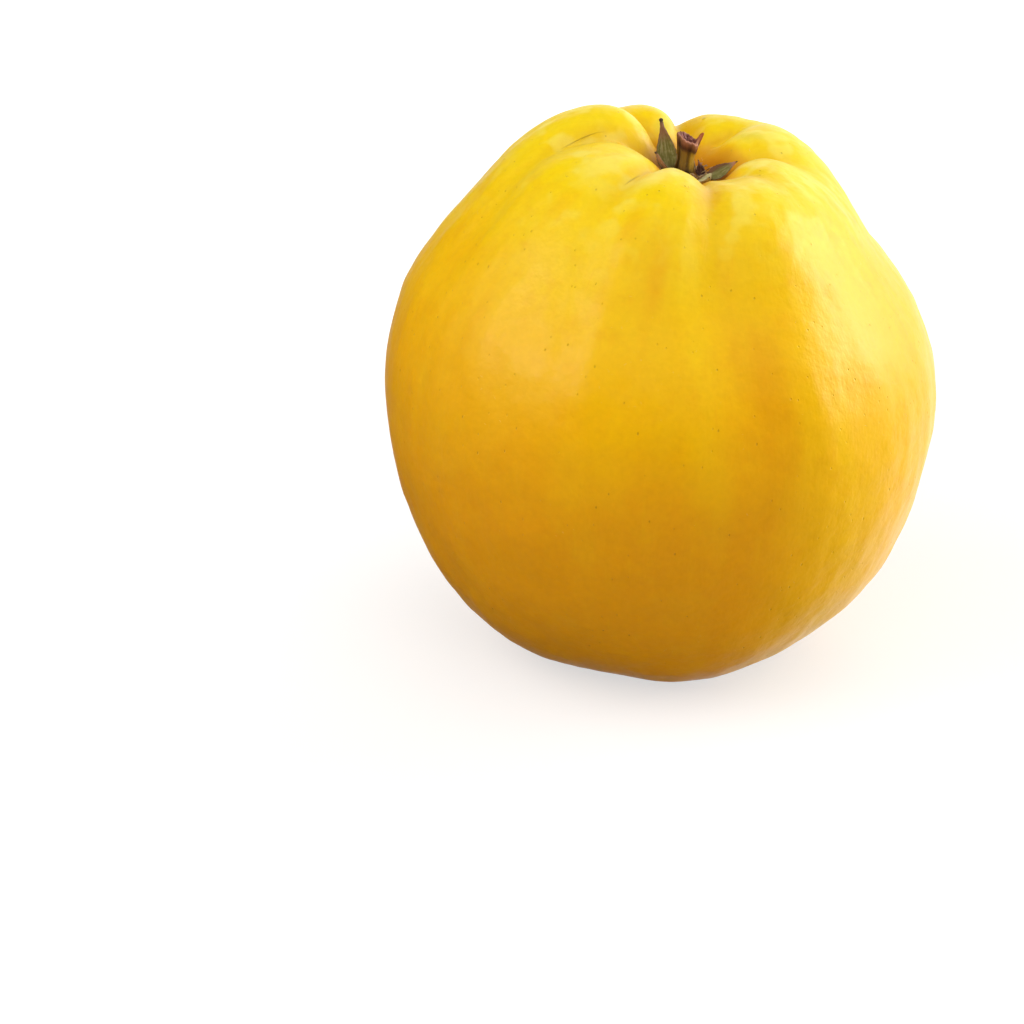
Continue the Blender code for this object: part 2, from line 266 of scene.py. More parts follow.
class Recipe(Graph):
    """A geometry-nodes tree with named inputs, which makes a piece as a plain mesh."""

    def __init__(self, name: str) -> None:
        """Starts an empty tree with a geometry input and output, and an input for the finish.

        Args:
            name: the tree's name.
        """
        super().__init__(bpy.data.node_groups.new(name, "GeometryNodeTree"))
        self.sockets: dict[str, str] = {}
        self.tree.interface.new_socket(name="Geometry", in_out="INPUT", socket_type="NodeSocketGeometry")
        self.tree.interface.new_socket(name="Geometry", in_out="OUTPUT", socket_type="NodeSocketGeometry")
        self.start = self.tree.nodes.new("NodeGroupInput")
        self.material = self.given("Finish", None, "Material")

    def given(self, name: str, default: object, kind: str = "Float") -> Value:
        """Adds a named input.

        Args:
            name: the input's name.
            default: its value where a piece gives none.
            kind: Float, Int, Vector or Material.

        Returns:
            The input's value inside the tree.
        """
        socket = self.tree.interface.new_socket(name=name, in_out="INPUT", socket_type=f"NodeSocket{kind}")
        if default is not None:
            socket.default_value = default
        self.sockets[name] = socket.identifier
        return self.out(self.start, name)

    def read(self, name: str, kind: str = "FLOAT") -> Value:
        """The value of a stored attribute."""
        return self.value("GeometryNodeInputNamedAttribute", {0: name}, data_type=kind)

    def store(self, mesh: Value, name: str, value: Value) -> Value:
        """Stores a value on the points of a mesh.

        Args:
            mesh: the mesh.
            name: the attribute's name.
            value: a number or a vector.

        Returns:
            The mesh with the attribute.
        """
        kind = "FLOAT_VECTOR" if value.is_vector else "FLOAT"
        inputs = {"Geometry": mesh, "Name": name, "Value": value}
        return self.value("GeometryNodeStoreNamedAttribute", inputs, data_type=kind)

    def sample(self, mesh: Value, value: Value, index: Value) -> Value:
        """Looks up a value on another mesh.

        Args:
            mesh: the other mesh.
            value: the value, as it stands on that mesh.
            index: which of its points.

        Returns:
            The value there.
        """
        kind = "FLOAT_VECTOR" if value.is_vector else "FLOAT"
        inputs = {"Geometry": mesh, "Value": value, "Index": index}
        return self.value("GeometryNodeSampleIndex", inputs, data_type=kind)

    def random(self, low: Number, high: Number, seed: int) -> Value:
        """A random number for each point."""
        inputs = {"Min_001": low, "Max_001": high, "Seed": seed}
        return self.value("FunctionNodeRandomValue", inputs, 1, data_type="FLOAT")

    def tube_grid(self, rings: Number, segments: Number) -> tuple[Value, Value, Value]:
        """A sheet of rings and segments that still has to be rolled up.

        Args:
            rings: how many rings of points.
            segments: how many points round.

        Returns:
            The sheet, the ring's number and the angle of each of its points.
        """
        around = segments + 1
        sheet = self.value("GeometryNodeMeshGrid", {"Vertices X": rings, "Vertices Y": around})
        index = self.value("GeometryNodeInputIndex", {})
        ring = self.maths("FLOOR", index / around)
        step = self.maths("MODULO", index - ring * around, segments)
        return sheet, ring, step / segments * TURN

    def turned(self, segments: int) -> Turning:
        """Turns the outline that the tree is given into a sheet, with the segments as an input.

        Args:
            segments: how many points go round where a piece gives no other number.

        Returns:
            The sheet, and what its points are worked out from.
        """
        outline = self.out(self.start, "Geometry")
        around = self.given("Segments", segments, "Int")
        count = self.value("GeometryNodeAttributeDomainSize", {"Geometry": outline}, "Point Count")
        sheet, ring, angle = self.tube_grid(count, around)
        here = self.value("GeometryNodeInputPosition", {})
        cosine, sine = self.maths("COSINE", angle), self.maths("SINE", angle)
        return Turning(outline, sheet, ring, angle, cosine, sine, self.sample(outline, here, ring))

    def strand(self, path: tuple[Triple, ...], steps: int, sides: int, radius: Value) -> Value:
        """A thin closed tube along a Bezier curve.

        Args:
            path: the start, its handle, the end's handle and the end.
            steps: how many straight pieces the curve has.
            sides: how many sides the tube has.
            radius: the tube's radius at each place.

        Returns:
            Its mesh.
        """
        inputs = {"Resolution": steps, **dict(zip(("Start", "Start Handle", "End Handle", "End"), path))}
        curve = self.value("GeometryNodeCurvePrimitiveBezierSegment", inputs)
        ring = self.value("GeometryNodeCurvePrimitiveCircle", {"Resolution": sides, "Radius": 1.0})
        inputs = {"Curve": curve, "Profile Curve": ring, "Scale": radius, "Fill Caps": True}
        return self.value("GeometryNodeCurveToMesh", inputs)

    def planted(self, points: Value, strand: Value, rotation: Value, size: Value) -> Value:
        """Plants a copy of a strand at every point.

        Args:
            points: where they stand.
            strand: the strand, standing at the origin.
            rotation: how each is turned.
            size: how much each is scaled.

        Returns:
            The copies, as instances.
        """
        inputs = {"Points": points, "Instance": strand, "Rotation": rotation}
        inputs["Scale"] = self.join(size, size, size)
        return self.value("GeometryNodeInstanceOnPoints", inputs)

    def place(self, mesh: Value, position: Value) -> Value:
        """Moves every point of a mesh to a position."""
        return self.value("GeometryNodeSetPosition", {"Geometry": mesh, "Position": position})

    def weld(self, mesh: Value) -> Value:
        """Closes the seam and the two ends of a rolled sheet."""
        return self.value("GeometryNodeMergeByDistance", {"Geometry": mesh, "Distance": WELD})

    def flip(self, mesh: Value) -> Value:
        """Turns the faces round."""
        return self.value("GeometryNodeFlipFaces", {"Mesh": mesh})

    def close(self, geometry: Value) -> None:
        """Ends the tree: everything made real, shaded smooth and given its finish.

        Args:
            geometry: what the tree has made.
        """
        real = self.value("GeometryNodeRealizeInstances", {"Geometry": geometry})
        smooth = self.value("GeometryNodeSetShadeSmooth", {"Geometry": real})
        dressed = self.add("GeometryNodeSetMaterial", {"Geometry": smooth, "Material": self.material})
        end = self.tree.nodes.new("NodeGroupOutput")
        self.tree.links.new(dressed.outputs[0], end.inputs[0])

    def make(self, name: str, host: bpy.types.Mesh, settings: dict[str, object]) -> bpy.types.Object:
        """Runs the tree once and keeps its result as a plain mesh.

        Args:
            name: the new piece's name.
            host: the mesh that the tree starts from.
            settings: values for the named inputs.

        Returns:
            The piece, an object at the origin with no modifier.
        """
        piece = bpy.data.objects.new(name, host)
        bpy.context.scene.collection.objects.link(piece)
        modifier = piece.modifiers.new(self.tree.name, "NODES")
        modifier.node_group = self.tree
        for key, setting in settings.items():
            modifier[self.sockets[key]] = setting
        graph = bpy.context.evaluated_depsgraph_get()
        made = bpy.data.meshes.new_from_object(
            piece.evaluated_get(graph), preserve_all_data_layers=True, depsgraph=graph
        )
        piece.modifiers.remove(modifier)
        piece.data = made
        made.name = name
        return piece


class Finish(Graph):
    """A material's node tree, from the patterns up to its one Principled shader."""

    def __init__(self, name: str) -> None:
        """Starts a material with nothing but its shader.

        Args:
            name: the material's name.
        """
        self.made = bpy.data.materials.new(name)
        self.made.use_nodes = True
        super().__init__(self.made.node_tree)
        self.shader = self.tree.nodes["Principled BSDF"]

    def spot(self, offset: Triple = (0.0, 0.0, 0.0), stretch: Triple = (1.0, 1.0, 1.0)) -> Value:
        """Where a point of the piece is, for a pattern.

        Args:
            offset: what is added to it.
            stretch: what it is multiplied by first, along each axis.

        Returns:
            The place, in metres.
        """
        place = self.value("ShaderNodeTexCoord", {}, "Object")
        mapping = self.add("ShaderNodeMapping", {"Vector": place})
        mapping.inputs["Location"].default_value = offset
        mapping.inputs["Scale"].default_value = stretch
        return self.out(mapping)

    def read(self, name: str) -> Value:
        """A stored attribute, as a number."""
        return self.value("ShaderNodeAttribute", {}, "Fac", attribute_name=name)

    def read_vector(self, name: str) -> Value:
        """A stored attribute, as a vector."""
        return self.value("ShaderNodeAttribute", {}, "Vector", attribute_name=name)

    def blend(self, share: Number, first: object, second: object, how: str = "MIX") -> Value:
        """Mixes two colours.

        Args:
            share: how much of the second, 0 to 1.
            first: a Value or a linear colour.
            second: a Value or a linear colour.
            how: the blend type.

        Returns:
            The mixed colour.
        """
        inputs = {"Factor_Float": share}
        for key, colour in (("A_Color", first), ("B_Color", second)):
            inputs[key] = colour if isinstance(colour, Value) else (*colour, 1.0)
        return self.value("ShaderNodeMix", inputs, 2, data_type="RGBA", blend_type=how, clamp_factor=True)

    def paint(self, colour: object, *coats: tuple[Number, object]) -> Value:
        """Lays coats over a colour, one after another.

        Args:
            colour: what is under them.
            *coats: for each, how much it covers, 0 to 1, and its own colour.

        Returns:
            The colour on top.
        """
        for share, coat in coats:
            colour = self.blend(share, colour, coat)
        return colour

    def bumps(self, height: Value, depth: float, below: Union[Value, None] = None) -> Value:
        """Bumps, laid over others or over the plain surface.

        Args:
            height: the pattern of the bumps.
            depth: how high in metres a height of 1 stands.
            below: the normal of the bumps under them.

        Returns:
            The bumped normal.
        """
        inputs = {"Height": height, "Distance": depth, "Strength": 1.0}
        if below is not None:
            inputs["Normal"] = below
        return self.value("ShaderNodeBump", inputs)

    def relief(self, *layers: tuple[Value, float]) -> Value:
        """Layers of bumps, each over the one before.

        Args:
            *layers: for each, its pattern and how high in metres a height of 1 stands.

        Returns:
            The bumped normal.
        """
        normal = None
        for height, depth in layers:
            normal = self.bumps(height, depth, normal)
        return normal

    def close(
        self, colour: Value, roughness: Value, normal: Value, **settings: object
    ) -> bpy.types.Material:
        """Links the patterns to the shader and sets what is the same all over.

        Args:
            colour: the base colour.
            roughness: the roughness.
            normal: the bumped normal.
            **settings: constant shader inputs, with underscores for spaces.

        Returns:
            The material.
        """
        for name, value in (("Base Color", colour), ("Roughness", roughness), ("Normal", normal)):
            self.tree.links.new(value.socket, self.shader.inputs[name])
        for name, setting in settings.items():
            self.shader.inputs[name.replace("_", " ")].default_value = setting
        return self.made


# ---------------------------------------------------------------------------------------------------
# The fruit's shape
# ---------------------------------------------------------------------------------------------------


def chain(name: str, points: list[Triple]) -> bpy.types.Mesh:
    """Strings points together, each joined to the next by an edge.

    Args:
        name: the mesh's name.
        points: the points.

    Returns:
        The mesh.
    """
    made = bpy.data.meshes.new(name)
    made.from_pydata(points, [(index, index + 1) for index in range(len(points) - 1)], [])
    return made


@dataclass(frozen=True)
class Outline:
    """A cubic B-spline over (radius, height) points, from the top of the core to the bottom."""

    points: tuple[Pair, ...]

    def at(self, share: float) -> tuple[float, float, Vector]:
        """Point and outward normal of the outline.

        Args:
            share: share of the way along it.

        Returns:
            The radius, the height and the normal in the radius-height plane.
        """
        points = [Vector(p) * MM for p in self.points]
        first, last = points[1], points[-2]
        points = [Vector((-first.x, first.y)), *points, Vector((-last.x, last.y))]
        spans = len(points) - 3
        place = min(share * spans, spans - 1e-9)
        span = int(place)
        t = place - span
        a, b, c, d = points[span : span + 4]
        spot = a * (1 - t) ** 3 + b * (3 * t**3 - 6 * t**2 + 4) + c * (-3 * t**3 + 3 * t**2 + 3 * t + 1)
        spot = (spot + d * t**3) / 6
        along = -a * (1 - t) ** 2 + b * (3 * t**2 - 4 * t) + c * (-3 * t**2 + 2 * t + 1) + d * t**2
        return spot.x, spot.y, Vector((-along.y, along.x)).normalized()

    def mesh(self, rings: int) -> bpy.types.Mesh:
        """The outline as a chain of points, each with its share and its outward direction.

        Args:
            rings: how many steps it has.

        Returns:
            The mesh, in the XZ plane.
        """
        shares = [ring / rings for ring in range(rings + 1)]
        spots = [self.at(share) for share in shares]
        made = chain("outline", [(radius, 0.0, height) for radius, height, _ in spots])
        made.attributes.new("share", "FLOAT", "POINT").data.foreach_set("value", shares)
        flat = [number for _, _, out in spots for number in (out.x, 0.0, out.y)]
        made.attributes.new("outward", "FLOAT_VECTOR", "POINT").data.foreach_set("vector", flat)
        return made


@dataclass(frozen=True)
class Furrow:
    """A valley between two lobes of the calyx end, which swings round as it runs down."""

    angle: float
    swing: float
    depth_mm: float
    half_width: float
    reach: float


@dataclass(frozen=True)
class Swelling:
    """A fuller or, with a negative push, a flatter place in the flesh."""

    angle: float
    share: float
    push_mm: float
    half_width: float
    half_length: float


@dataclass(frozen=True)
class Crease:
    """A fine dark fold in the skin, at the top of a furrow."""

    angle: float
    swing: float
    share: float
    half_width: float
    half_length: float


@dataclass(frozen=True)
class Pores:
    """A set of pores: how far apart, their radius and how many are there as shares, and how dark."""

    spacing: float
    radius: float
    chosen: float
    strength: float


@dataclass(frozen=True)
class LightAndShadePatch:
    """A soft patch of painted light, long along the fruit: a painted highlight or, with a negative
    strength, painted shade.
    """

    angle: float
    share: float
    half_width: float
    half_length: float
    strength: float
    swing: float = 0.0


@dataclass(frozen=True)
class Crown:
    """How the calyx end sits: shifted to the right of the core and sloping to the right and the front."""

    shift: Pair = (4.0 * MM, 1.0 * MM)
    slope: Pair = (-0.087, 0.050)
    lean: float = math.tan(math.radians(0.8))
    fade: Pair = (0.46, 0.24)

    def carry(self, graph: Graph, point: Value, share: Number) -> Value:
        """Slopes, shifts and leans a point with the crown and the core.

        Args:
            graph: the tree to add the nodes to.
            point: the point, about the upright core.
            share: 1 in the crown and 0 below it.

        Returns:
            The point in its place.
        """
        x, y, z = graph.split(point)
        z = z + (x * self.slope[0] + y * self.slope[1]) * share
        x, y = x + share * self.shift[0], y + share * self.shift[1]
        return graph.join(x + z * self.lean, y, z)


@dataclass
class Stance:
    """Where the core stands on the ground, found from the fruit and shared by every piece."""

    shift: Vector = field(default_factory=Vector)

    def settle(self, piece: bpy.types.Object, flat_spot: float) -> None:
        """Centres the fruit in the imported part's box and presses its flat spots into the ground.

        Args:
            piece: the fruit.
            flat_spot: how deep the flat spots are.
        """
        corners = [Vector(map(end, zip(*(v.co for v in piece.data.vertices)))) for end in (min, max)]
        low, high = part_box("fruit")
        middle = (low + high) / 2 - (corners[0] + corners[1]) / 2
        self.shift = Vector((middle.x, middle.y, low.z - corners[0].z - flat_spot))
        self.move(piece)
        for v in piece.data.vertices:
            v.co.z = max(v.co.z, low.z)

    def move(self, piece: bpy.types.Object) -> None:
        """Moves a piece's points from about the core to where the fruit stands."""
        for v in piece.data.vertices:
            v.co += self.shift
        piece.data.update()


class Part:
    """A sub-assembly that one tree makes as one piece, on the stance that all of them share."""

    piece_name: ClassVar[str]

    def outline_mesh(self) -> bpy.types.Mesh:
        """What the tree starts from: nothing, unless the part is turned from an outline."""
        return bpy.data.meshes.new("seedling")

    def recipe(self) -> Recipe:
        """The tree that makes the part, with its sizes as named inputs."""
        raise NotImplementedError

    def stand(self, piece: bpy.types.Object, stance: Stance) -> None:
        """Moves the part to where the fruit stands."""
        stance.move(piece)

    def build(self, stance: Stance, finish: bpy.types.Material) -> bpy.types.Object:
        """Makes the part.

        Args:
            stance: where the fruit stands.
            finish: the part's material.

        Returns:
            The piece.
        """
        piece = self.recipe().make(self.piece_name, self.outline_mesh(), {"Finish": finish})
        self.stand(piece, stance)
        return piece


@dataclass
class Skin(Part):
    """The fruit itself: flesh and skin in one, from the basin's floor to the stem cavity."""

    piece_name: ClassVar[str] = "golden_skin"
    outline: Outline = Outline((
        (0.0, 83.3), (2.4, 83.3), (4.6, 83.4), (6.2, 84.7), (7.6, 88.1), (12.4, 90.9), (19.6, 90.3),
        (26.4, 86.4), (31.1, 79.4), (35.2, 71.8), (41.2, 65.4), (46.2, 56.0), (47.6, 44.5), (45.8, 31.5),
        (41.4, 17.6), (33.2, 6.6), (23.0, -0.2), (13.6, -0.8), (7.6, 4.6), (4.8, 10.4), (0.0, 11.2),
    ))
    rings: int = 240
    segments: int = 360
    crown: Crown = Crown()
    furrows: tuple[Furrow, ...] = (
        Furrow(5, -6, 2.6, 10, 0.12),
        Furrow(63, -13, 2.8, 9, 0.07),
        Furrow(91, 0, 7.6, 7.5, 0.12),
        Furrow(132, 0, 3.0, 9, 0.10),
        Furrow(183, 15, 3.0, 10, 0.20),
        Furrow(236, 4, 2.8, 9.5, 0.19),
        Furrow(275, 8, 3.3, 10, 0.26),
        Furrow(314, 4, 2.0, 12, 0.16),
    )
    furrow_softness: float = 0.4
    furrow_start: float = 0.11
    furrow_full: float = 0.22
    swellings: tuple[Swelling, ...] = (
        Swelling(164, 0.26, 2.4, 26, 0.06),
        Swelling(180, 0.34, 1.3, 40, 0.07),
        Swelling(112, 0.24, 0.4, 14, 0.06),
        Swelling(186, 0.46, 3.5, 45, 0.08),
        Swelling(208, 0.24, -0.6, 16, 0.06),
        Swelling(350, 0.33, -2.6, 32, 0.08),
        Swelling(262, 0.33, 0.8, 22, 0.12),
        Swelling(296, 0.24, -2.0, 14, 0.06),
        Swelling(260, 0.23, -0.7, 14, 0.05),
        Swelling(305, 0.36, 0.7, 20, 0.12),
        Swelling(68, 0.24, -1.6, 22, 0.07),
        Swelling(250, 0.48, 0.5, 11, 0.10),
        Swelling(299, 0.54, 0.7, 9, 0.08),
    )
    base_ribs: int = 5
    base_rib_depth: float = 0.9 * MM
    base_rib_phase: float = math.radians(20)
    base_rib_rise: Pair = (0.62, 0.80)
    base_rib_fall: Pair = (0.93, 0.86)
    flank_rise: Pair = (0.20, 0.40)
    flank_fall: Pair = (0.85, 0.70)
    outside_rise: Pair = (0.14, 0.24)
    outside_fall: Pair = (0.95, 0.85)
    flat_spot: float = 0.45 * MM

    def outline_mesh(self) -> bpy.types.Mesh:
        """The outline that the skin is turned from."""
        return self.outline.mesh(self.rings)

    def furrow_depth(self, tree: Recipe, share: Value, angle: Value) -> Value:
        """How far the furrows pull the skin in.

        Args:
            tree: the fruit's tree.
            share: share of the way along the outline.
            angle: angle round the core.

        Returns:
            The depth in metres.
        """
        below = share - self.furrow_full
        rise = tree.smooth_step(self.furrow_start, self.furrow_full, share)
        soft = self.furrow_softness
        depth = 0.0
        for furrow in self.furrows:
            middle = below * math.radians(furrow.swing / furrow.reach) + math.radians(furrow.angle)
            across = tree.wrap(angle - middle) / math.radians(furrow.half_width)
            across = tree.maths("SQRT", across * across + soft**2)
            down = tree.bell(tree.maths("MAXIMUM", below, 0.0) / furrow.reach)
            depth = tree.maths("EXPONENT", soft - across) * down * (furrow.depth_mm * MM) + depth
        return depth * rise

    def swell(self, tree: Recipe, share: Value, angle: Value) -> Value:
        """How far the fuller places push the skin out.

        Args:
            tree: the fruit's tree.
            share: share of the way along the outline.
            angle: angle round the core.

        Returns:
            The push in metres.
        """
        push = 0.0
        for place in self.swellings:
            across = tree.wrap(angle - math.radians(place.angle)) / math.radians(place.half_width)
            down = (share - place.share) / place.half_length
            push = tree.bell(across) * tree.bell(down) * (place.push_mm * MM) + push
        return push

    def rib_depth(self, tree: Recipe, share: Value, angle: Value) -> Value:
        """How far the valleys between the ribs round the stem cavity pull the skin in.

        Args:
            tree: the fruit's tree.
            share: share of the way along the outline.
            angle: angle round the core.

        Returns:
            The depth in metres.
        """
        ring = tree.between(self.base_rib_rise, self.base_rib_fall, share)
        wave = tree.maths("COSINE", angle * float(self.base_ribs) + self.base_rib_phase)
        return (1.0 - wave) * ring * (self.base_rib_depth / 2)

    def recipe(self) -> Recipe:
        """The tree that turns the outline round the core and shapes the skin.

        Returns:
            The tree, with its sizes as named inputs.
        """
        tree = Recipe("quince_skin")
        slow_size = tree.given("Slow Bump Size", 38.0 * MM)
        slow_push = tree.given("Slow Bump Push", 0.6 * MM)
        lump_size = tree.given("Lump Size", 8.5 * MM)
        lump_push = tree.given("Lump Push", 0.34 * MM)
        ripple_size = tree.given("Ripple Size", 2.8 * MM)
        ripple_push = tree.given("Ripple Push", 0.07 * MM)
        ridge_push = tree.given("Ridge Push", 0.28 * MM)
        skin = tree.turned(self.segments)
        cosine, sine = skin.cosine, skin.sine
        radius, _, height = tree.split(skin.spot)
        outward = tree.sample(skin.outline, tree.read("outward", "FLOAT_VECTOR"), skin.ring)
        out_x, _, out_z = tree.split(outward)
        share = tree.sample(skin.outline, tree.read("share"), skin.ring)
        furrow = self.furrow_depth(tree, share, skin.angle)
        push = self.swell(tree, share, skin.angle) - furrow - self.rib_depth(tree, share, skin.angle)
        radius, height = radius + out_x * push, height + out_z * push
        point = tree.join(radius * cosine, radius * sine, height)
        outward = tree.join(out_x * cosine, out_x * sine, out_z)
        flank = tree.between(self.flank_rise, self.flank_fall, share)
        outside = tree.between(self.outside_rise, self.outside_fall, share)
        slow = tree.noise(point, slow_size) * flank * slow_push
        fine = tree.noise(point, lump_size, 1.0) * lump_push + tree.noise(point, ripple_size) * ripple_push
        upright = tree.join(cosine * 7.0, sine * 7.0, share * 4.0)
        ridges = tree.noise(upright, 1.0, 1.0) * flank * ridge_push
        point = point + outward * (slow + ridges + fine * outside)
        share_in_crown = tree.smooth_step(*self.crown.fade, share)
        mesh = tree.place(skin.sheet, self.crown.carry(tree, point, share_in_crown))
        mesh = tree.store(mesh, "around", tree.join(cosine, sine, share))
        mesh = tree.store(mesh, "furrow", furrow / MM)
        tree.close(tree.flip(tree.weld(mesh)))
        return tree

    def stand(self, piece: bpy.types.Object, stance: Stance) -> None:
        """Stands the fruit on the ground, which gives the stance its shift for the other parts."""
        stance.settle(piece, self.flat_spot)


# ---------------------------------------------------------------------------------------------------
# The calyx: sepals, withered styles and dried stamens
# ---------------------------------------------------------------------------------------------------


PATH_POINTS = ("Foot", "Foot Pull", "Tip Pull", "Tip")
BASIN_FLOOR = (0.45 * MM, -0.8 * MM, 83.3 * MM)


@dataclass(frozen=True)
class Blade:
    """One sepal: its curve from foot to tip in millimetres from the basin's floor, and its shape."""

    name: str
    slot: str
    path: tuple[Triple, Triple, Triple, Triple]
    face: Triple
    half_width_mm: float
    finish: "SepalFinish"
    gland_mm: float = 0.10
    seed: float = 0.0


@dataclass
class Sepals:
    """The five withered sepals round the basin."""

    blades: tuple[Blade, ...]
    crown: Crown = Crown()
    stations: int = 64
    section: int = 44
    thickness: float = 0.24 * MM
    cup: float = 0.30
    foot_share: float = 0.5
    broadest_at: float = 0.30
    gland_length: float = 0.07

    def half_width(self, tree: Recipe, t: Value, broadest: Value, tip: Value) -> Value:
        """Half-width along a sepal: rounded at the foot, broadest low down and tapering to a point.

        Args:
            tree: the sepals' tree.
            t: share of the way from foot to tip.
            broadest: the half-width at the broadest place.
            tip: the radius of the tip.

        Returns:
            The half-width in metres.
        """
        foot = self.foot_share
        swell = tree.maths("SINE", tree.maths("MINIMUM", t / self.broadest_at, 1.0) * (math.pi / 2))
        taper = (t - self.broadest_at) / (1 - self.broadest_at)
        narrowing = tree.smooth_step(1.12, 0.0, taper)
        return tree.maths("MAXIMUM", (swell * (1 - foot) + foot) * narrowing * broadest, tip)

    def recipe(self) -> Recipe:
        """The tree of one sepal, which each of them runs with its own values.

        Returns:
            The tree, with its sizes as named inputs.
        """
        tree = Recipe("withered_sepal")
        stations = tree.given("Stations", self.stations, "Int")
        section = tree.given("Section", self.section, "Int")
        a, b, c, d = (tree.given(name, (0.0, 0.0, 0.0), "Vector") for name in PATH_POINTS)
        face = tree.given("Face", (0.0, -1.0, 0.0), "Vector")
        broadest = tree.given("Half Width", 1.5 * MM)
        thickness = tree.given("Thickness", self.thickness)
        tip_radius = tree.given("Tip Radius", 0.10 * MM)
        vein_height = tree.given("Vein Height", 0.06 * MM)
        curl = tree.given("Curl", 0.16 * MM)
        seed = tree.given("Seed", 0.0)
        sheet, ring, turn = tree.tube_grid(stations + 1, section)
        t = ring / stations
        back = 1.0 - t
        point = a * (back * back * back) + b * (t * back * back * 3.0)
        point = point + c * (t * t * back * 3.0) + d * (t * t * t)
        along = (b - a) * (back * back) + (c - b) * (t * back * 2.0) + (d - c) * (t * t)
        side = tree.vector("NORMALIZE", tree.vector("CROSS_PRODUCT", along, face))
        inward = tree.vector("NORMALIZE", tree.vector("CROSS_PRODUCT", side, along))
        half = self.half_width(tree, t, broadest, tip_radius)
        in_gland = tree.smooth_step(1 - self.gland_length * 1.2, 1 - self.gland_length * 0.8, t)
        swell = tree.maths("SINE", tree.maths("MINIMUM", back / self.gland_length, 1.0) * math.pi)
        bead = tip_radius * (swell * 0.6 + 0.4)
        half = half * (1.0 - in_gland) + bead * in_gland
        thin = tree.maths("MINIMUM", thickness, half)
        across = tree.maths("COSINE", turn)
        upright = tree.maths("SINE", turn)
        round_end = tree.maths("SQRT", tree.smooth_step(0.0, 0.03, t) * tree.smooth_step(1.0, 0.985, t))
        flutter = tree.noise(tree.join(across * 0.8 + seed, t * 5.0, seed), 1.0, 1.0)
        veins = tree.maths("COSINE", across * 9.0 + flutter * 2.2)
        rib = tree.bell(across / 0.16) * 1.3 + veins * 0.35
        edge = tree.noise(tree.join(seed, t * 16.0, across + seed), 1.0, 1.0)
        wide = half * across * (edge * tree.smooth_step(0.5, 1.0, across * across) * 0.16 + 1.0)
        thick = thin * upright + rib * vein_height * upright * tree.smooth_step(1.0, 0.6, across * across)
        cupped = half * (across * across - 0.5) * self.cup
        wavy = flutter * curl * t * (1.0 - in_gland) * 2.0
        offset = side * (wide * round_end) + inward * (thick * round_end + cupped * round_end + wavy)
        moved = self.crown.carry(tree, point + offset + BASIN_FLOOR, 1.0)
        mesh = tree.store(tree.place(sheet, moved), "blade", tree.join(across, t, upright))
        tree.close(tree.weld(mesh))
        return tree

    def build(self, stance: Stance) -> list[bpy.types.Object]:
        """Makes the sepals.

        Args:
            stance: the shift that they share with the fruit.

        Returns:
            One piece for each, in the order of the blades.
        """
        tree = self.recipe()
        pieces = []
        for blade in self.blades:
            settings = {"Finish": blade.finish.material(f"{blade.name}_tissue")}
            for key, point in zip(PATH_POINTS, blade.path):
                settings[key] = tuple(n * MM for n in point)
            settings["Face"] = blade.face
            settings["Half Width"] = blade.half_width_mm * MM
            settings["Tip Radius"] = blade.gland_mm * MM
            settings["Seed"] = blade.seed
            piece = tree.make(f"{blade.name}_blade", bpy.data.meshes.new("seedling"), settings)
            stance.move(piece)
            pieces.append(piece)
        return pieces


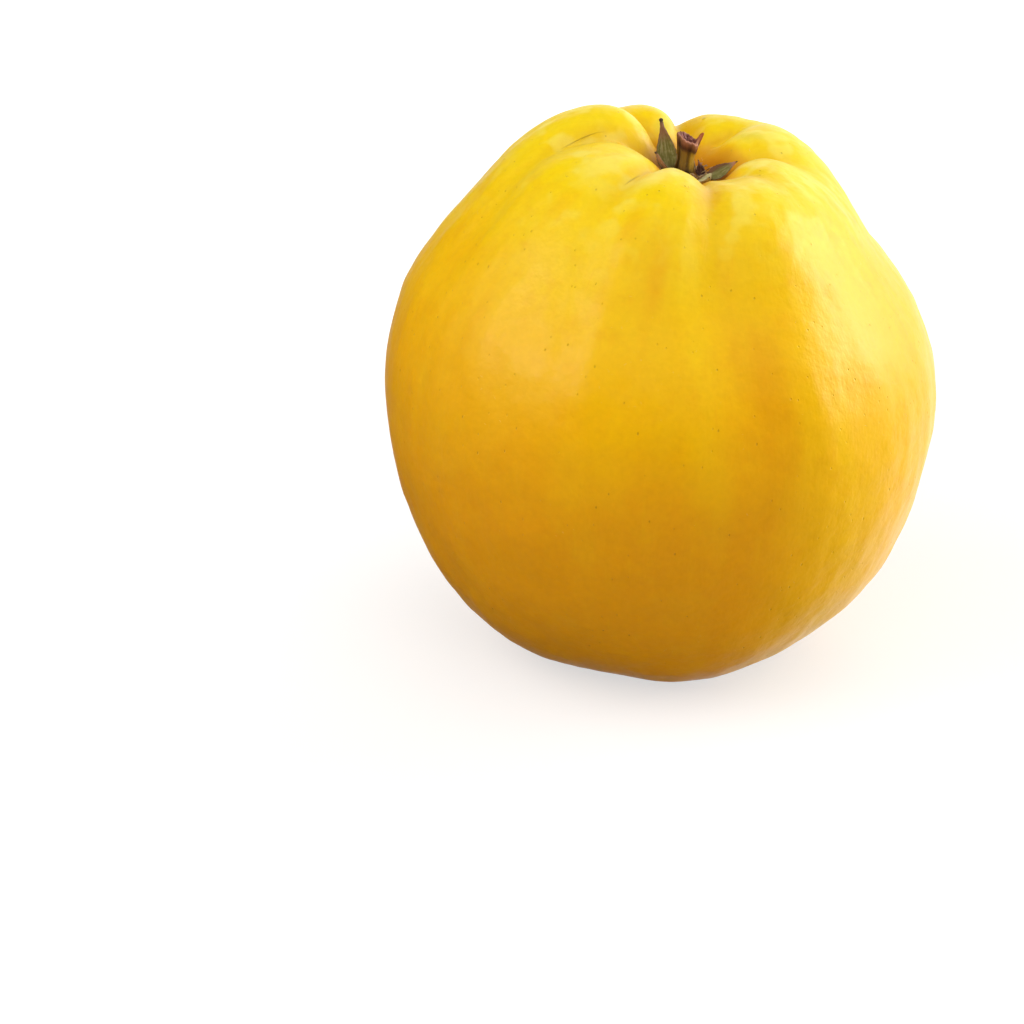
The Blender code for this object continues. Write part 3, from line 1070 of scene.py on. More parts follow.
@dataclass
class StyleColumn(Part):
    """The withered styles, grown together into one grooved column with a dished top and a spur."""

    piece_name: ClassVar[str] = "withered_style_column"
    crown: Crown = Crown()
    foot: Triple = (-1.8 * MM, 1.5 * MM, 0.5 * MM)
    top: Triple = (-1.3 * MM, 1.3 * MM, 6.3 * MM)
    foot_radius: float = 1.8 * MM
    waist_radius: float = 1.55 * MM
    top_radius: float = 1.9 * MM
    rim_thickness: float = 0.65 * MM
    cup_depth: float = 0.7 * MM
    cup_narrowing: float = 0.5
    cup_tilt: Pair = (-0.44, 0.07)
    styles: int = 5
    groove_share: float = 0.12
    groove_angle: float = math.radians(283)
    spur_angle: float = math.radians(8)
    spur_half_width: float = math.radians(10)
    spur_rise: float = 2.1 * MM
    spur_reach: float = 1.0 * MM
    wall_rings: int = 48
    rim_rings: int = 8
    cup_rings: int = 14
    segments: int = 160

    def outline_mesh(self) -> bpy.types.Mesh:
        """Half section of the column: up the wall, over the rounded rim and down into the cup.

        Returns:
            A chain of (radius, how high it is as a share, how far it is sunk below that) points, each
            with a weight that is 1 on the wall and 0 in the cup.
        """
        points, walls = [(0.0, 0.0, 0.0)], [1.0]
        for ring in range(self.wall_rings + 1):
            t = ring / self.wall_rings
            low = (self.foot_radius - self.waist_radius) * (1 - self.s_curve(t / 0.5))
            high = (self.top_radius - self.waist_radius) * self.s_curve((t - 0.5) / 0.5)
            points.append((self.waist_radius + low + high, t, 0.0))
            walls.append(1.0)
        half = self.rim_thickness / 2
        for ring in range(1, self.rim_rings):
            turn = math.pi * ring / self.rim_rings
            radius = self.top_radius - half + half * math.cos(turn)
            points.append((radius, 1.0, -half * math.sin(turn)))
            walls.append(1 - ring / self.rim_rings)
        inner = self.top_radius - self.rim_thickness
        for ring in range(self.cup_rings + 1):
            t = ring / self.cup_rings
            radius = inner * (1 - self.cup_narrowing * t) * math.sqrt(max(1 - t**6, 0.0))
            points.append((radius, 1.0, self.cup_depth * t))
            walls.append(0.0)
        made = chain("column_outline", points)
        made.attributes.new("wall", "FLOAT", "POINT").data.foreach_set("value", walls)
        return made

    @staticmethod
    def s_curve(share: float) -> float:
        """0 to 1 by an S-curve, level beyond both ends."""
        share = min(max(share, 0.0), 1.0)
        return share * share * (3 - 2 * share)

    def recipe(self) -> Recipe:
        """The tree that turns the half section, and grooves, tilts and wrinkles it.

        Returns:
            The tree, with its sizes as named inputs.
        """
        tree = Recipe("style_column_turning")
        grooves = tree.given("Groove Share", self.groove_share)
        wrinkle = tree.given("Wrinkle", 0.09 * MM)
        foot = tree.given("Foot", self.foot, "Vector")
        top = tree.given("Top", self.top, "Vector")
        column = tree.turned(self.segments)
        angle, cosine, sine = column.angle, column.cosine, column.sine
        radius, t, sink = tree.split(column.spot)
        wall = tree.sample(column.outline, tree.read("wall"), column.ring)
        wave = tree.maths("COSINE", (angle - self.groove_angle) * float(self.styles))
        groove = tree.maths("POWER", (wave + 1.0) / 2.0, 1.6)
        grain = tree.join(cosine * 2.2, sine * 2.2, t * 1.4)
        rough = tree.noise(grain, 0.45, 2.0) + tree.noise(tree.join(cosine, sine, t * 5.0), 0.5, 1.0) * 0.6
        radius = radius * (1.0 - groove * grooves * wall * 1.25)
        radius = radius + rough * wrinkle * tree.smooth_step(0.0, 0.4 * MM, radius)
        middle = foot + (top - foot) * t
        point = middle + tree.join(radius * cosine, radius * sine, sink * -1.0)
        high = tree.smooth_step(0.35, 1.0, t)
        tilt = (cosine * self.cup_tilt[0] + sine * self.cup_tilt[1]) * radius * high
        away = tree.wrap(angle - self.spur_angle) / self.spur_half_width
        spur = tree.bell(away) * tree.smooth_step(0.8, 1.0, t) * radius / self.top_radius
        ragged = tree.noise(tree.join(cosine * 3.0, sine * 3.0, 0.0), 1.0, 1.0)
        lift = ragged * tree.smooth_step(0.9, 1.0, t) * (0.35 * MM)
        point = point + tree.join(spur * self.spur_reach, 0.0, tilt + spur * self.spur_rise + lift)
        moved = self.crown.carry(tree, point + BASIN_FLOOR, 1.0)
        mesh = tree.store(tree.place(column.sheet, moved), "column", tree.join(cosine, sine, t))
        mesh = tree.store(mesh, "wall", wall)
        mesh = tree.store(mesh, "depth", tree.maths("MAXIMUM", groove * wall, sink / self.cup_depth))
        mesh = tree.store(mesh, "spur", spur)
        tree.close(tree.flip(tree.weld(mesh)))
        return tree


@dataclass
class StemStub(Part):
    """The stub of the stem, flaring down to a ragged end inside its cavity."""

    piece_name: ClassVar[str] = "torn_stem_stub"
    crown: Crown = Crown()
    root_height: float = 10.3 * MM
    end_height: float = 2.6 * MM
    root_radius: float = 1.7 * MM
    end_radius: float = 2.9 * MM
    raggedness: float = 0.9 * MM
    hollow: float = 1.1 * MM
    grain_size: float = 1.6 * MM
    wall_rings: int = 36
    end_rings: int = 16
    segments: int = 96

    def outline_mesh(self) -> bpy.types.Mesh:
        """Half section of the stub, from the middle of its root down and into its hollow end.

        Returns:
            A chain of (radius, share of the way down, lift) points.
        """
        points = [(0.0, 0.0, 0.0)]
        for ring in range(self.wall_rings + 1):
            t = ring / self.wall_rings
            flare = StyleColumn.s_curve((t - 0.3) / 0.7)
            points.append((self.root_radius + (self.end_radius - self.root_radius) * flare, t, 0.0))
        for ring in range(1, self.end_rings + 1):
            t = ring / self.end_rings
            points.append((self.end_radius * (1 - t), 1.0, self.hollow * math.sin(t * math.pi / 2)))
        return chain("stem_outline", points)

    def recipe(self) -> Recipe:
        """The tree that turns the stub and tears its end.

        Returns:
            The tree, with its sizes as named inputs.
        """
        tree = Recipe("stem_stub_turning")
        tearing = tree.given("Raggedness", self.raggedness)
        stub = tree.turned(self.segments)
        cosine, sine = stub.cosine, stub.sine
        radius, t, lift = tree.split(stub.spot)
        flat = tree.join(radius * cosine, radius * sine, 0.0)
        rough = tree.noise(flat, self.grain_size, 2.0, 0.6) * tearing * t * 0.7
        ridges = tree.noise(tree.join(cosine * 4.0, sine * 4.0, t), 1.0, 1.0) * (0.2 * MM)
        spread = 1.0 + (rough + ridges) / self.end_radius
        height = t * (self.end_height - self.root_height) + self.root_height + lift + rough * t
        point = tree.join(radius * cosine * spread, radius * sine * spread, height)
        moved = self.crown.carry(tree, point, 0.0)
        reach = tree.join(radius / self.end_radius, t, lift / MM)
        mesh = tree.store(tree.place(stub.sheet, moved), "stem", reach)
        tree.close(tree.weld(mesh))
        return tree


@dataclass
class Stamens(Part):
    """Dried filaments with shrivelled anthers, tangled round the foot of the style column."""

    piece_name: ClassVar[str] = "dried_stamen_tuft"
    ring_centre: Triple = (-1.2 * MM, 0.9 * MM, 0.1 * MM)
    crown: Crown = Crown()
    count: int = 72
    ring_radius: float = 2.3 * MM
    length: float = 2.2 * MM
    thickness: float = 0.15 * MM
    seed: int = 7

    def filament(self, tree: Recipe) -> Value:
        """One filament standing at the origin, bent at its tip, with its anther.

        Args:
            tree: the stamens' tree.

        Returns:
            Its mesh.
        """
        long = self.length
        path = (
            (0.0, 0.0, 0.0), (0.0, 0.0, long * 0.5),
            (long * 0.25, 0.0, long * 0.9), (long * 0.6, long * 0.1, long * 0.95),
        )
        along = tree.value("GeometryNodeSplineParameter", {})
        anther = tree.bell((along - 0.93) / 0.06) * 1.6
        return tree.strand(path, 7, 5, (1.2 - along * 0.6 + anther) * (self.thickness / 2))

    def recipe(self) -> Recipe:
        """The tree that plants the filaments in a ring.

        Returns:
            The tree, with its sizes as named inputs.
        """
        tree = Recipe("dried_stamens")
        count = tree.given("Count", self.count, "Int")
        around = tree.given("Ring Radius", self.ring_radius)
        circle = tree.value("GeometryNodeMeshCircle", {"Vertices": count, "Radius": around})
        here = tree.value("GeometryNodeInputPosition", {})
        jitter = tree.random(0.78, 1.12, self.seed)
        centre = tuple(a + b for a, b in zip(BASIN_FLOOR, self.ring_centre))
        circle = tree.place(circle, here * jitter + centre)
        index = tree.value("GeometryNodeInputIndex", {})
        angle = index / count * TURN + tree.random(-1.1, 1.1, self.seed + 1)
        tilt = tree.random(0.0, 0.95, self.seed + 2)
        spin = tree.random(-0.9, 0.9, self.seed + 3)
        turned = tree.value("FunctionNodeEulerToRotation", {0: tree.join(spin, tilt, angle)})
        size = tree.random(0.5, 1.15, self.seed + 4)
        planted = tree.planted(circle, self.filament(tree), turned, size)
        real = tree.value("GeometryNodeRealizeInstances", {"Geometry": planted})
        tree.close(tree.place(real, self.crown.carry(tree, here, 1.0)))
        return tree


@dataclass
class Down:
    """The last of the down: short pale hairs, lying in thin patches over the skin."""

    density: float = 260000.0
    length: float = 1.0 * MM
    thickness: float = 0.045 * MM
    flank_rise: Pair = (0.28, 0.40)
    flank_fall: Pair = (0.80, 0.66)
    basin_rise: Pair = (0.24, 0.10)
    cavity_rise: Pair = (0.84, 0.92)
    seed: int = 23

    def hair(self, tree: Recipe) -> Value:
        """One curved hair with three sides, standing at the origin.

        Args:
            tree: the down's tree.

        Returns:
            Its mesh.
        """
        long = self.length
        path = (
            (0.0, 0.0, 0.0), (0.0, 0.0, long * 0.25),
            (long * 0.5, 0.0, long * 0.3), (long, long * 0.12, long * 0.22),
        )
        along = tree.value("GeometryNodeSplineParameter", {})
        return tree.strand(path, 4, 3, (1.0 - along * 0.75) * (self.thickness / 2))

    def recipe(self) -> Recipe:
        """The tree that scatters the hairs over the skin that it is given.

        Returns:
            The tree, with its sizes as named inputs.
        """
        tree = Recipe("quince_down")
        skin = tree.out(tree.start, "Geometry")
        density = tree.given("Density", self.density)
        here = tree.value("GeometryNodeInputPosition", {})
        patches = tree.smooth_step(-0.05, 0.55, tree.noise(here, 16.0 * MM, 1.0))
        _, _, share = tree.split(tree.read("around", "FLOAT_VECTOR"))
        flank = tree.between(self.flank_rise, self.flank_fall, share)
        basin = tree.smooth_step(*self.basin_rise, share)
        cavity = tree.smooth_step(*self.cavity_rise, share)
        factor = patches * flank * 0.9 + basin * 0.3 + cavity * 0.8
        inputs = {"Mesh": skin, "Density": density * factor, "Seed": self.seed}
        scatter = tree.add("GeometryNodeDistributePointsOnFaces", inputs)
        lying = tree.random(0.0, 0.5, self.seed + 1)
        heading = tree.random(0.0, TURN, self.seed + 2)
        turn = tree.value("FunctionNodeEulerToRotation", {0: tree.join(0.0, lying, heading)})
        inputs = {"Rotation": tree.out(scatter, "Rotation"), "Rotate By": turn}
        rotation = tree.value("FunctionNodeRotateRotation", inputs, rotation_space="LOCAL")
        size = tree.random(0.45, 1.25, self.seed + 3)
        tree.close(tree.planted(tree.out(scatter), self.hair(tree), rotation, size))
        return tree

    def build(self, skin: bpy.types.Object, finish: bpy.types.Material) -> bpy.types.Object:
        """Grows the down.

        Args:
            skin: the finished fruit.
            finish: the hairs' material.

        Returns:
            All the hairs as one piece.
        """
        return self.recipe().make("pale_down", skin.data, {"Finish": finish})


# ---------------------------------------------------------------------------------------------------
# Finishes
# ---------------------------------------------------------------------------------------------------


@dataclass(frozen=True)
class SkinFinish:
    """Satin golden skin: lemon at the crown, deeper gold below, with pores, russet and fine creases.

    A rise is where a zone fades in, as shares of the way along the outline: from none to all of it.
    Painted light is laid into the colour as well. The crown's paler coats and pale dots are painted
    highlights on its lumps, and the soft patches down the lobes are painted highlights and painted
    shade of their relief. The orange towards the bottom and the left is partly a riper tone and partly
    painted shade. The tan in the furrow valleys and the honey on the basin's inner walls are painted
    shade, and the darker colours in the basin and the stem cavity are russeting and painted shade.
    """

    lemon: Triple = tone(252, 219, 14)
    gold: Triple = tone(250, 199, 4)
    orange: Triple = tone(243, 166, 1)
    # Pale and light also paint the highlights on the crown, and deep the painted shade in the lobes' soft
    # patches; elsewhere they lay random tone.
    pale: Triple = tone(255, 234, 92)
    light: Triple = tone(255, 212, 6)
    peach: Triple = tone(250, 188, 22)
    deep: Triple = tone(236, 158, 1)
    green: Triple = tone(206, 196, 24)
    # Tan paints shade in the furrow valleys; the next two colours paint russeting and shade in the basin
    # and the stem cavity, and honey paints shade on the basin's inner walls.
    tan: Triple = tone(216, 146, 46)
    russet_and_shade: Triple = tone(150, 86, 26)
    amber: Triple = tone(204, 128, 4)
    honey: Triple = tone(240, 172, 4)
    pore: Triple = tone(140, 88, 8)
    fold: Triple = tone(146, 84, 14)
    shade: Triple = (0.35, 0.20, 0.0)
    gold_rise: Pair = (0.30, 0.48)
    orange_rise: Pair = (0.42, 0.67)
    crown_rise: Pair = (0.46, 0.30)
    body_rise: Pair = (0.36, 0.46)
    crest_middle: float = 0.235
    crest_width: float = 0.05
    # Where the painted shade lies: the furrow valleys, the basin's inner walls, the basin and the stem
    # cavity.
    valley_depth_mm: Pair = (0.9, 2.8)
    valley_rise: Pair = (0.42, 0.28)
    wall_rise: Pair = (0.225, 0.175)
    basin_rise: Pair = (0.215, 0.12)
    cavity_rise: Pair = (0.93, 0.985)
    left_angle: float = math.radians(175)
    left_width: float = math.radians(60)
    band_grain: Triple = (5.0, 5.0, 0.55)
    streak_grain: Triple = (60.0, 26.0, 0.6)
    wrinkle_grain: Triple = (90.0, 70.0, 0.6)
    cloud_size: float = 24.0 * MM
    patch_size: float = 7.5 * MM
    spot_size: float = 4.5 * MM
    mottle_size: float = 4.0 * MM
    lump_size: float = 2.4 * MM
    speck_size: float = 1.2 * MM
    fine_size: float = 0.9 * MM
    lump_depth: float = 0.065 * MM
    fine_depth: float = 0.022 * MM
    wrinkle_depth: float = 0.011 * MM
    pit_depth: float = 0.10 * MM
    pores: tuple[Pores, ...] = (
        Pores(1.4 * MM, 0.12, 0.35, 0.14),
        Pores(2.1 * MM, 0.10, 0.45, 0.30),
        Pores(7.5 * MM, 0.034, 0.40, 0.38),
    )
    pore_squeeze: float = 0.6
    creases: tuple[Crease, ...] = (
        Crease(186, 4, 0.293, 0.35, 0.024),
        Crease(237, 0, 0.296, 0.40, 0.016),
        Crease(79, 0, 0.292, 1.30, 0.006),
    )
    # Painted highlights and painted shade of the lobes' relief, each a soft patch long along the fruit: a
    # positive strength paints a highlight, a negative one shade. The patch at 278 degrees and share 0.30
    # is a painted shadow at the top of a furrow.
    light_and_shade_patches: tuple[LightAndShadePatch, ...] = (
        LightAndShadePatch(272, 0.41, 4.0, 0.065, 0.60, 4),
        LightAndShadePatch(248, 0.29, 6.0, 0.022, 0.85),
        LightAndShadePatch(291, 0.325, 5.0, 0.024, 0.75),
        LightAndShadePatch(221, 0.30, 7.0, 0.024, 0.75),
        LightAndShadePatch(275, 0.48, 3.0, 0.050, 0.45, 2),
        LightAndShadePatch(277, 0.58, 5.0, 0.055, 0.35, 4),
        LightAndShadePatch(307, 0.59, 3.0, 0.080, 0.40, 3),
        LightAndShadePatch(262, 0.39, 6.5, 0.055, -0.25),
        LightAndShadePatch(287, 0.38, 4.0, 0.050, -0.20),
        LightAndShadePatch(251, 0.36, 5.0, 0.030, -0.40),
        LightAndShadePatch(278, 0.30, 5.0, 0.022, -0.80),
        LightAndShadePatch(222, 0.35, 6.0, 0.030, -0.30),
        LightAndShadePatch(289, 0.52, 6.5, 0.110, -0.30, 2),
        LightAndShadePatch(305, 0.42, 5.0, 0.070, 0.30, 2),
        LightAndShadePatch(252, 0.44, 4.0, 0.050, -0.35),
    )

    def material(self) -> bpy.types.Material:
        """Builds the material.

        Returns:
            The material.
        """
        skin = Finish("golden_quince_skin")
        spot = skin.spot()
        cosine, sine, share = skin.split(skin.read_vector("around"))
        angle = skin.maths("ARCTAN2", sine, cosine)
        cloud = skin.noise(spot, self.cloud_size, 2.0)
        patch = skin.noise(skin.spot((0.3, 0.1, 0.2)), self.patch_size, 2.0, 0.55)
        mottle = skin.noise(skin.spot((0.1, 0.2, 0.5)), self.mottle_size, 3.0, 0.65)
        spots = skin.noise(skin.spot((0.7, 0.4, 0.1)), self.spot_size, 1.0, 0.5)
        speck = skin.noise(spot, self.speck_size, 3.0, 0.65)
        bands_and_painted_light, streaks, wrinkles = (
            skin.noise(skin.join(cosine * round_it, sine * round_it, share * along_it), 1.0, 2.0, fineness)
            for round_it, along_it, fineness in (self.band_grain, self.streak_grain, self.wrinkle_grain)
        )
        # Random long stripes, plus the patches of painted highlight and painted shade.
        bands_and_painted_light = bands_and_painted_light * 0.8 + self.painted_light_and_shade(skin, share, angle + patch * 0.05)
        # Orange stays off the right and gathers on the left: partly a riper side, partly painted shade.
        ripe_and_shaded_left = 1.0 - skin.smooth_step(0.2, 0.7, cosine) * 0.7
        crown = skin.smooth_step(*self.crown_rise, share)
        body = skin.smooth_step(*self.body_rise, share)
        crest = skin.bell((share - self.crest_middle) / self.crest_width)
        crest = crest * skin.smooth_step(0.15, 0.6, patch + cloud * 0.4)
        valley = skin.smooth_step(*self.valley_depth_mm, skin.read("furrow"))
        valley = valley * skin.smooth_step(*self.valley_rise, share)
        wall = skin.smooth_step(*self.wall_rise, share + patch * 0.02)
        basin = skin.smooth_step(*self.basin_rise, share + patch * 0.02)
        cavity = skin.smooth_step(*self.cavity_rise, share)
        left = skin.bell(skin.wrap(angle - self.left_angle) / self.left_width)
        # Paler still on the crown: painted highlight on its lumps.
        pale = skin.blend(crown, self.light, self.pale)
        colour = skin.paint(
            self.lemon,
            (skin.smooth_step(*self.gold_rise, share + cloud * 0.07), self.gold),
            # Orange towards the bottom and the left: partly a riper tone, partly painted shade.
            (skin.smooth_step(*self.orange_rise, share + cloud * 0.08) * ripe_and_shaded_left, self.orange),
            # Pale patches: random tone, with more on the crown as painted highlight.
            (skin.smooth_step(0.05, 0.35, patch) * (crown * 0.34 + 0.05), pale),
            # Paler where that sum is high: random tone and painted highlight.
            (skin.smooth_step(0.05, 0.9, bands_and_painted_light) * (crown * 0.44 + 0.32), pale),
            # Deeper where it is low: random tone and painted shade.
            (skin.smooth_step(-0.05, -0.8, bands_and_painted_light) * (0.54 - crown * 0.30), self.deep),
            # Pale dots on the crown: painted highlights.
            (skin.smooth_step(0.08, 0.38, spots) * crown * 0.75, pale),
            (skin.smooth_step(0.1, 0.7, cloud - patch * 0.4) * body * 0.14, self.peach),
            (skin.smooth_step(0.0, -0.6, mottle + patch * 0.5) * (0.22 - crown * 0.10), self.deep),
            # Pale mottling: random tone, with more on the crown as painted highlight.
            (skin.smooth_step(0.1, 0.7, mottle) * (crown * 0.2 + 0.12), pale),
            (crest * 0.42, self.green),
            (skin.smooth_step(0.15, 0.8, streaks) * 0.16, pale),
            (skin.smooth_step(-0.2, -0.8, streaks) * 0.22, self.deep),
            # Tan in the furrow valleys: painted shade.
            (valley * 0.30, self.tan),
            # Honey gold on the basin's inner walls: painted shade.
            (wall * 0.62, self.honey),
            # Russeting on the basin's left wall and amber on its right: the basin's own tone with painted
            # shade in the hollow.
            (basin * 0.96, skin.blend(left, self.amber, self.russet_and_shade)),
            # Darker in the stem cavity: russeting with painted shade.
            (cavity * 0.6, self.russet_and_shade),
        )
        colour, fold = self.fold_lines(skin, colour, share, angle, speck)
        colour, pits = self.pore_dots(skin, colour)
        colour = skin.blend(skin.smooth_step(-0.9, 0.9, speck) * 0.12, colour, self.shade, "MULTIPLY")
        roughness = 0.40 + basin * 0.40 + patch * 0.10 + speck * 0.07 + pits * 0.15
        normal = skin.relief(
            (skin.noise(spot, self.fine_size, 2.0, 0.6), self.fine_depth),
            (wrinkles, self.wrinkle_depth),
            (skin.noise(spot, self.lump_size, 2.0), self.lump_depth),
            ((pits + fold * 1.2) * -1.0, self.pit_depth),
        )
        return skin.close(
            colour, roughness, normal,
            Subsurface_Weight=0.12, Subsurface_Radius=(1.0, 0.42, 0.06), Subsurface_Scale=0.004,
            Specular_IOR_Level=0.18, Sheen_Weight=0.03, Sheen_Roughness=0.30,
            Sheen_Tint=(1.0, 0.80, 0.50, 1.0),
        )

    def painted_light_and_shade(self, skin: Finish, share: Value, angle: Value) -> Value:
        """How much the soft patches of painted highlight and painted shade on the lobes and the valleys
        add up to.

        Args:
            skin: the material.
            share: share of the way along the outline.
            angle: angle round the core.

        Returns:
            The sum: above zero for painted highlight, below zero for painted shade.
        """
        total = 0.0
        for painted_patch in self.light_and_shade_patches:
            down = (share - painted_patch.share) / painted_patch.half_length
            middle = down * math.radians(painted_patch.swing) + math.radians(painted_patch.angle)
            across = skin.wrap(angle - middle) / math.radians(painted_patch.half_width)
            total = skin.bell(across) * skin.bell(down) * (painted_patch.strength * 1.6) + total
        return total

    def fold_lines(
        self, skin: Finish, colour: Value, share: Value, angle: Value, speck: Value
    ) -> tuple[Value, Value]:
        """Draws the fine dark creases.

        Args:
            skin: the material.
            colour: the colour under them.
            share: share of the way along the outline.
            angle: angle round the core.
            speck: fine noise that makes them uneven.

        Returns:
            The colour with the creases, and how deep in a crease a place is.
        """
        deep = 0.0
        for crease in self.creases:
            swing = math.radians(crease.swing / crease.half_length)
            middle = (share - crease.share) * swing + math.radians(crease.angle) + speck * 0.004
            across = skin.bell(skin.wrap(angle - middle) / math.radians(crease.half_width))
            window = skin.bell((share - crease.share) / crease.half_length)
            deep = across * window + deep
        strong = skin.smooth_step(0.15, 0.95, deep + speck * 0.25)
        return skin.blend(strong * 0.32, colour, self.fold), strong

    def pore_dots(self, skin: Finish, colour: Value) -> tuple[Value, Value]:
        """Scatters the pores: many faint ones, and a few dark ones, all a little long up and down.

        Args:
            skin: the material.
            colour: the colour under them.

        Returns:
            The colour with the pores, and how far inside a pore a place is.
        """
        pits = 0.0
        for pores in self.pores:
            apart = pores.spacing
            cells = skin.cells(skin.spot((apart, 0.0, apart), (1.0, 1.0, self.pore_squeeze)), apart)
            pick, _, _ = skin.split(skin.out(cells, "Color"))
            inside = skin.smooth_step(pores.radius, pores.radius * 0.45, skin.out(cells, "Distance"))
            inside = inside * skin.smooth_step(pores.chosen, pores.chosen - 0.02, pick)
            colour = skin.blend(inside * pores.strength, colour, self.pore)
            pits = inside + pits
        return colour, pits


@dataclass(frozen=True)
class SepalFinish:
    """Dry sepal tissue: a blotched ground with paler fibres, and other colours at its margins and tip."""

    ground: Triple
    vein: Triple
    edge: Triple
    tip: Triple
    tip_from: float = 0.45
    dark_side: float = 0.0
    # Dark brown of the tip bead, also used for painted shade at the foot.
    gland_and_foot_shade: Triple = tone(46, 26, 16)
    gland_from: float = 0.93

    def material(self, name: str) -> bpy.types.Material:
        """Builds the material.

        Args:
            name: its name.

        Returns:
            The material.
        """
        tissue = Finish(name)
        spot = tissue.spot()
        across, along, _ = tissue.split(tissue.read_vector("blade"))
        blotch = tissue.noise(spot, 0.9 * MM, 3.0, 0.6)
        fibre = tissue.noise(tissue.join(across * 6.0, along * 3.2, 0.0), 1.0, 3.0, 0.65)
        midrib = tissue.bell((across + fibre * 0.08) / 0.07)
        margin = tissue.smooth_step(0.62, 0.97, across * across + blotch * 0.15)
        shaded = tissue.smooth_step(0.0, 0.7, across * self.dark_side + blotch * 0.35)
        top = tissue.smooth_step(self.tip_from, self.tip_from + 0.3, along + blotch * 0.12)
        dark = tissue.smooth_step(self.gland_from - 0.02, self.gland_from + 0.02, along)
        colour = tissue.paint(
            self.ground,
            (tissue.smooth_step(-0.15, 0.55, fibre * 0.8 + blotch * 0.6) * 0.75, self.vein),
            (midrib * 0.3, self.vein),
            (tissue.maths("MAXIMUM", margin * 0.7, shaded * 0.8), self.edge),
            (top * 0.85, self.tip),
            (tissue.smooth_step(0.1, 0.9, blotch) * 0.35, self.edge),
            (dark * 0.9, self.gland_and_foot_shade),
            # Darker at the foot, where the sepal meets the basin: painted shade.
            (tissue.smooth_step(0.16, 0.0, along) * 0.6, self.gland_and_foot_shade),
        )
        roughness = 0.70 + blotch * 0.10
        grain = tissue.noise(spot, 0.25 * MM, 2.0)
        normal = tissue.relief((fibre, 0.07 * MM), (grain, 0.03 * MM))
        return tissue.close(
            colour, roughness, normal, Specular_IOR_Level=0.35, Sheen_Weight=0.25,
            Sheen_Roughness=0.5, Sheen_Tint=(0.9, 0.85, 0.7, 1.0),
        )


@dataclass(frozen=True)
class ColumnFinish:
    """Withered style tissue: olive below, purple brown at the top, with a mottled dish, dark grooves."""

    olive: Triple = tone(140, 108, 34)
    straw: Triple = tone(204, 168, 52)
    plum: Triple = tone(116, 64, 42)
    rim: Triple = tone(196, 132, 100)
    dish: Triple = tone(182, 118, 108)
    pith: Triple = tone(92, 42, 38)
    # Dark brown for the painted shade under the front rim and in the grooves.
    dark: Triple = tone(40, 18, 11)
    # Dark brown for the painted shade at the column's foot, also in random blotches.
    foot: Triple = tone(50, 28, 15)
    spur: Triple = tone(176, 96, 52)
    spur_tip: Triple = tone(226, 186, 120)

    def material(self) -> bpy.types.Material:
        """Builds the material.

        Returns:
            The material.
        """
        tissue = Finish("withered_style_tissue")
        spot = tissue.spot()
        cosine, sine, t = tissue.split(tissue.read_vector("column"))
        wall, depth, spur = (tissue.read(name) for name in ("wall", "depth", "spur"))
        blotch = tissue.noise(spot, 0.9 * MM, 3.0, 0.6)
        fibre = tissue.noise(tissue.join(cosine * 9.0, sine * 9.0, t * 2.2), 1.0, 3.0, 0.65)
        # Straw on the right, the side that faces the key lamp: painted light.
        right = tissue.smooth_step(0.0, 0.5, cosine + blotch * 0.25)
        top = tissue.smooth_step(0.62, 0.88, t + blotch * 0.12)
        # Dark band below the front rim: painted shade under the rim.
        collar = tissue.bell((t + blotch * 0.05 - 0.80) / 0.08) * tissue.smooth_step(0.2, -0.5, sine)
        # Pink rim, stronger at the front: the rim's colour with a painted highlight on the front.
        lip = tissue.bell((wall - 0.6) / 0.35) * tissue.smooth_step(0.85, 1.0, t)
        mottled = tissue.blend(tissue.smooth_step(-0.25, 0.35, blotch + fibre * 0.4), self.pith, self.dish)
        colour = tissue.paint(
            self.olive,
            # Straw on the right: painted light.
            (right * 0.85, self.straw),
            (tissue.smooth_step(0.1, 0.8, fibre) * 0.35, self.straw),
            (top * 0.9, self.plum),
            # Painted shade under the front rim.
            (collar * 0.65, self.dark),
            # Darker at the foot, where the column meets the basin: painted shade.
            (tissue.smooth_step(0.36, 0.02, t + blotch * 0.12) * 0.85, self.foot),
            # Darker in the grooves: painted shade.
            (tissue.smooth_step(0.35, 0.95, depth * wall) * 0.6, self.dark),
            (tissue.smooth_step(0.2, 0.9, blotch) * 0.3, self.foot),
            # Pink rim: its own colour, with a painted highlight at the front.
            (lip * (tissue.smooth_step(0.4, -0.4, sine) * 0.5 + 0.35), self.rim),
            (tissue.smooth_step(0.45, 0.15, wall) * 0.9, mottled),
            (tissue.smooth_step(0.20, 0.6, spur) * 0.85, self.spur),
            (tissue.smooth_step(0.80, 0.97, spur) * 0.7, self.spur_tip),
        )
        roughness = 0.66 + blotch * 0.10
        normal = tissue.relief((fibre, 0.10 * MM), (tissue.noise(spot, 0.3 * MM, 2.0), 0.04 * MM))
        return tissue.close(colour, roughness, normal, Specular_IOR_Level=0.4)


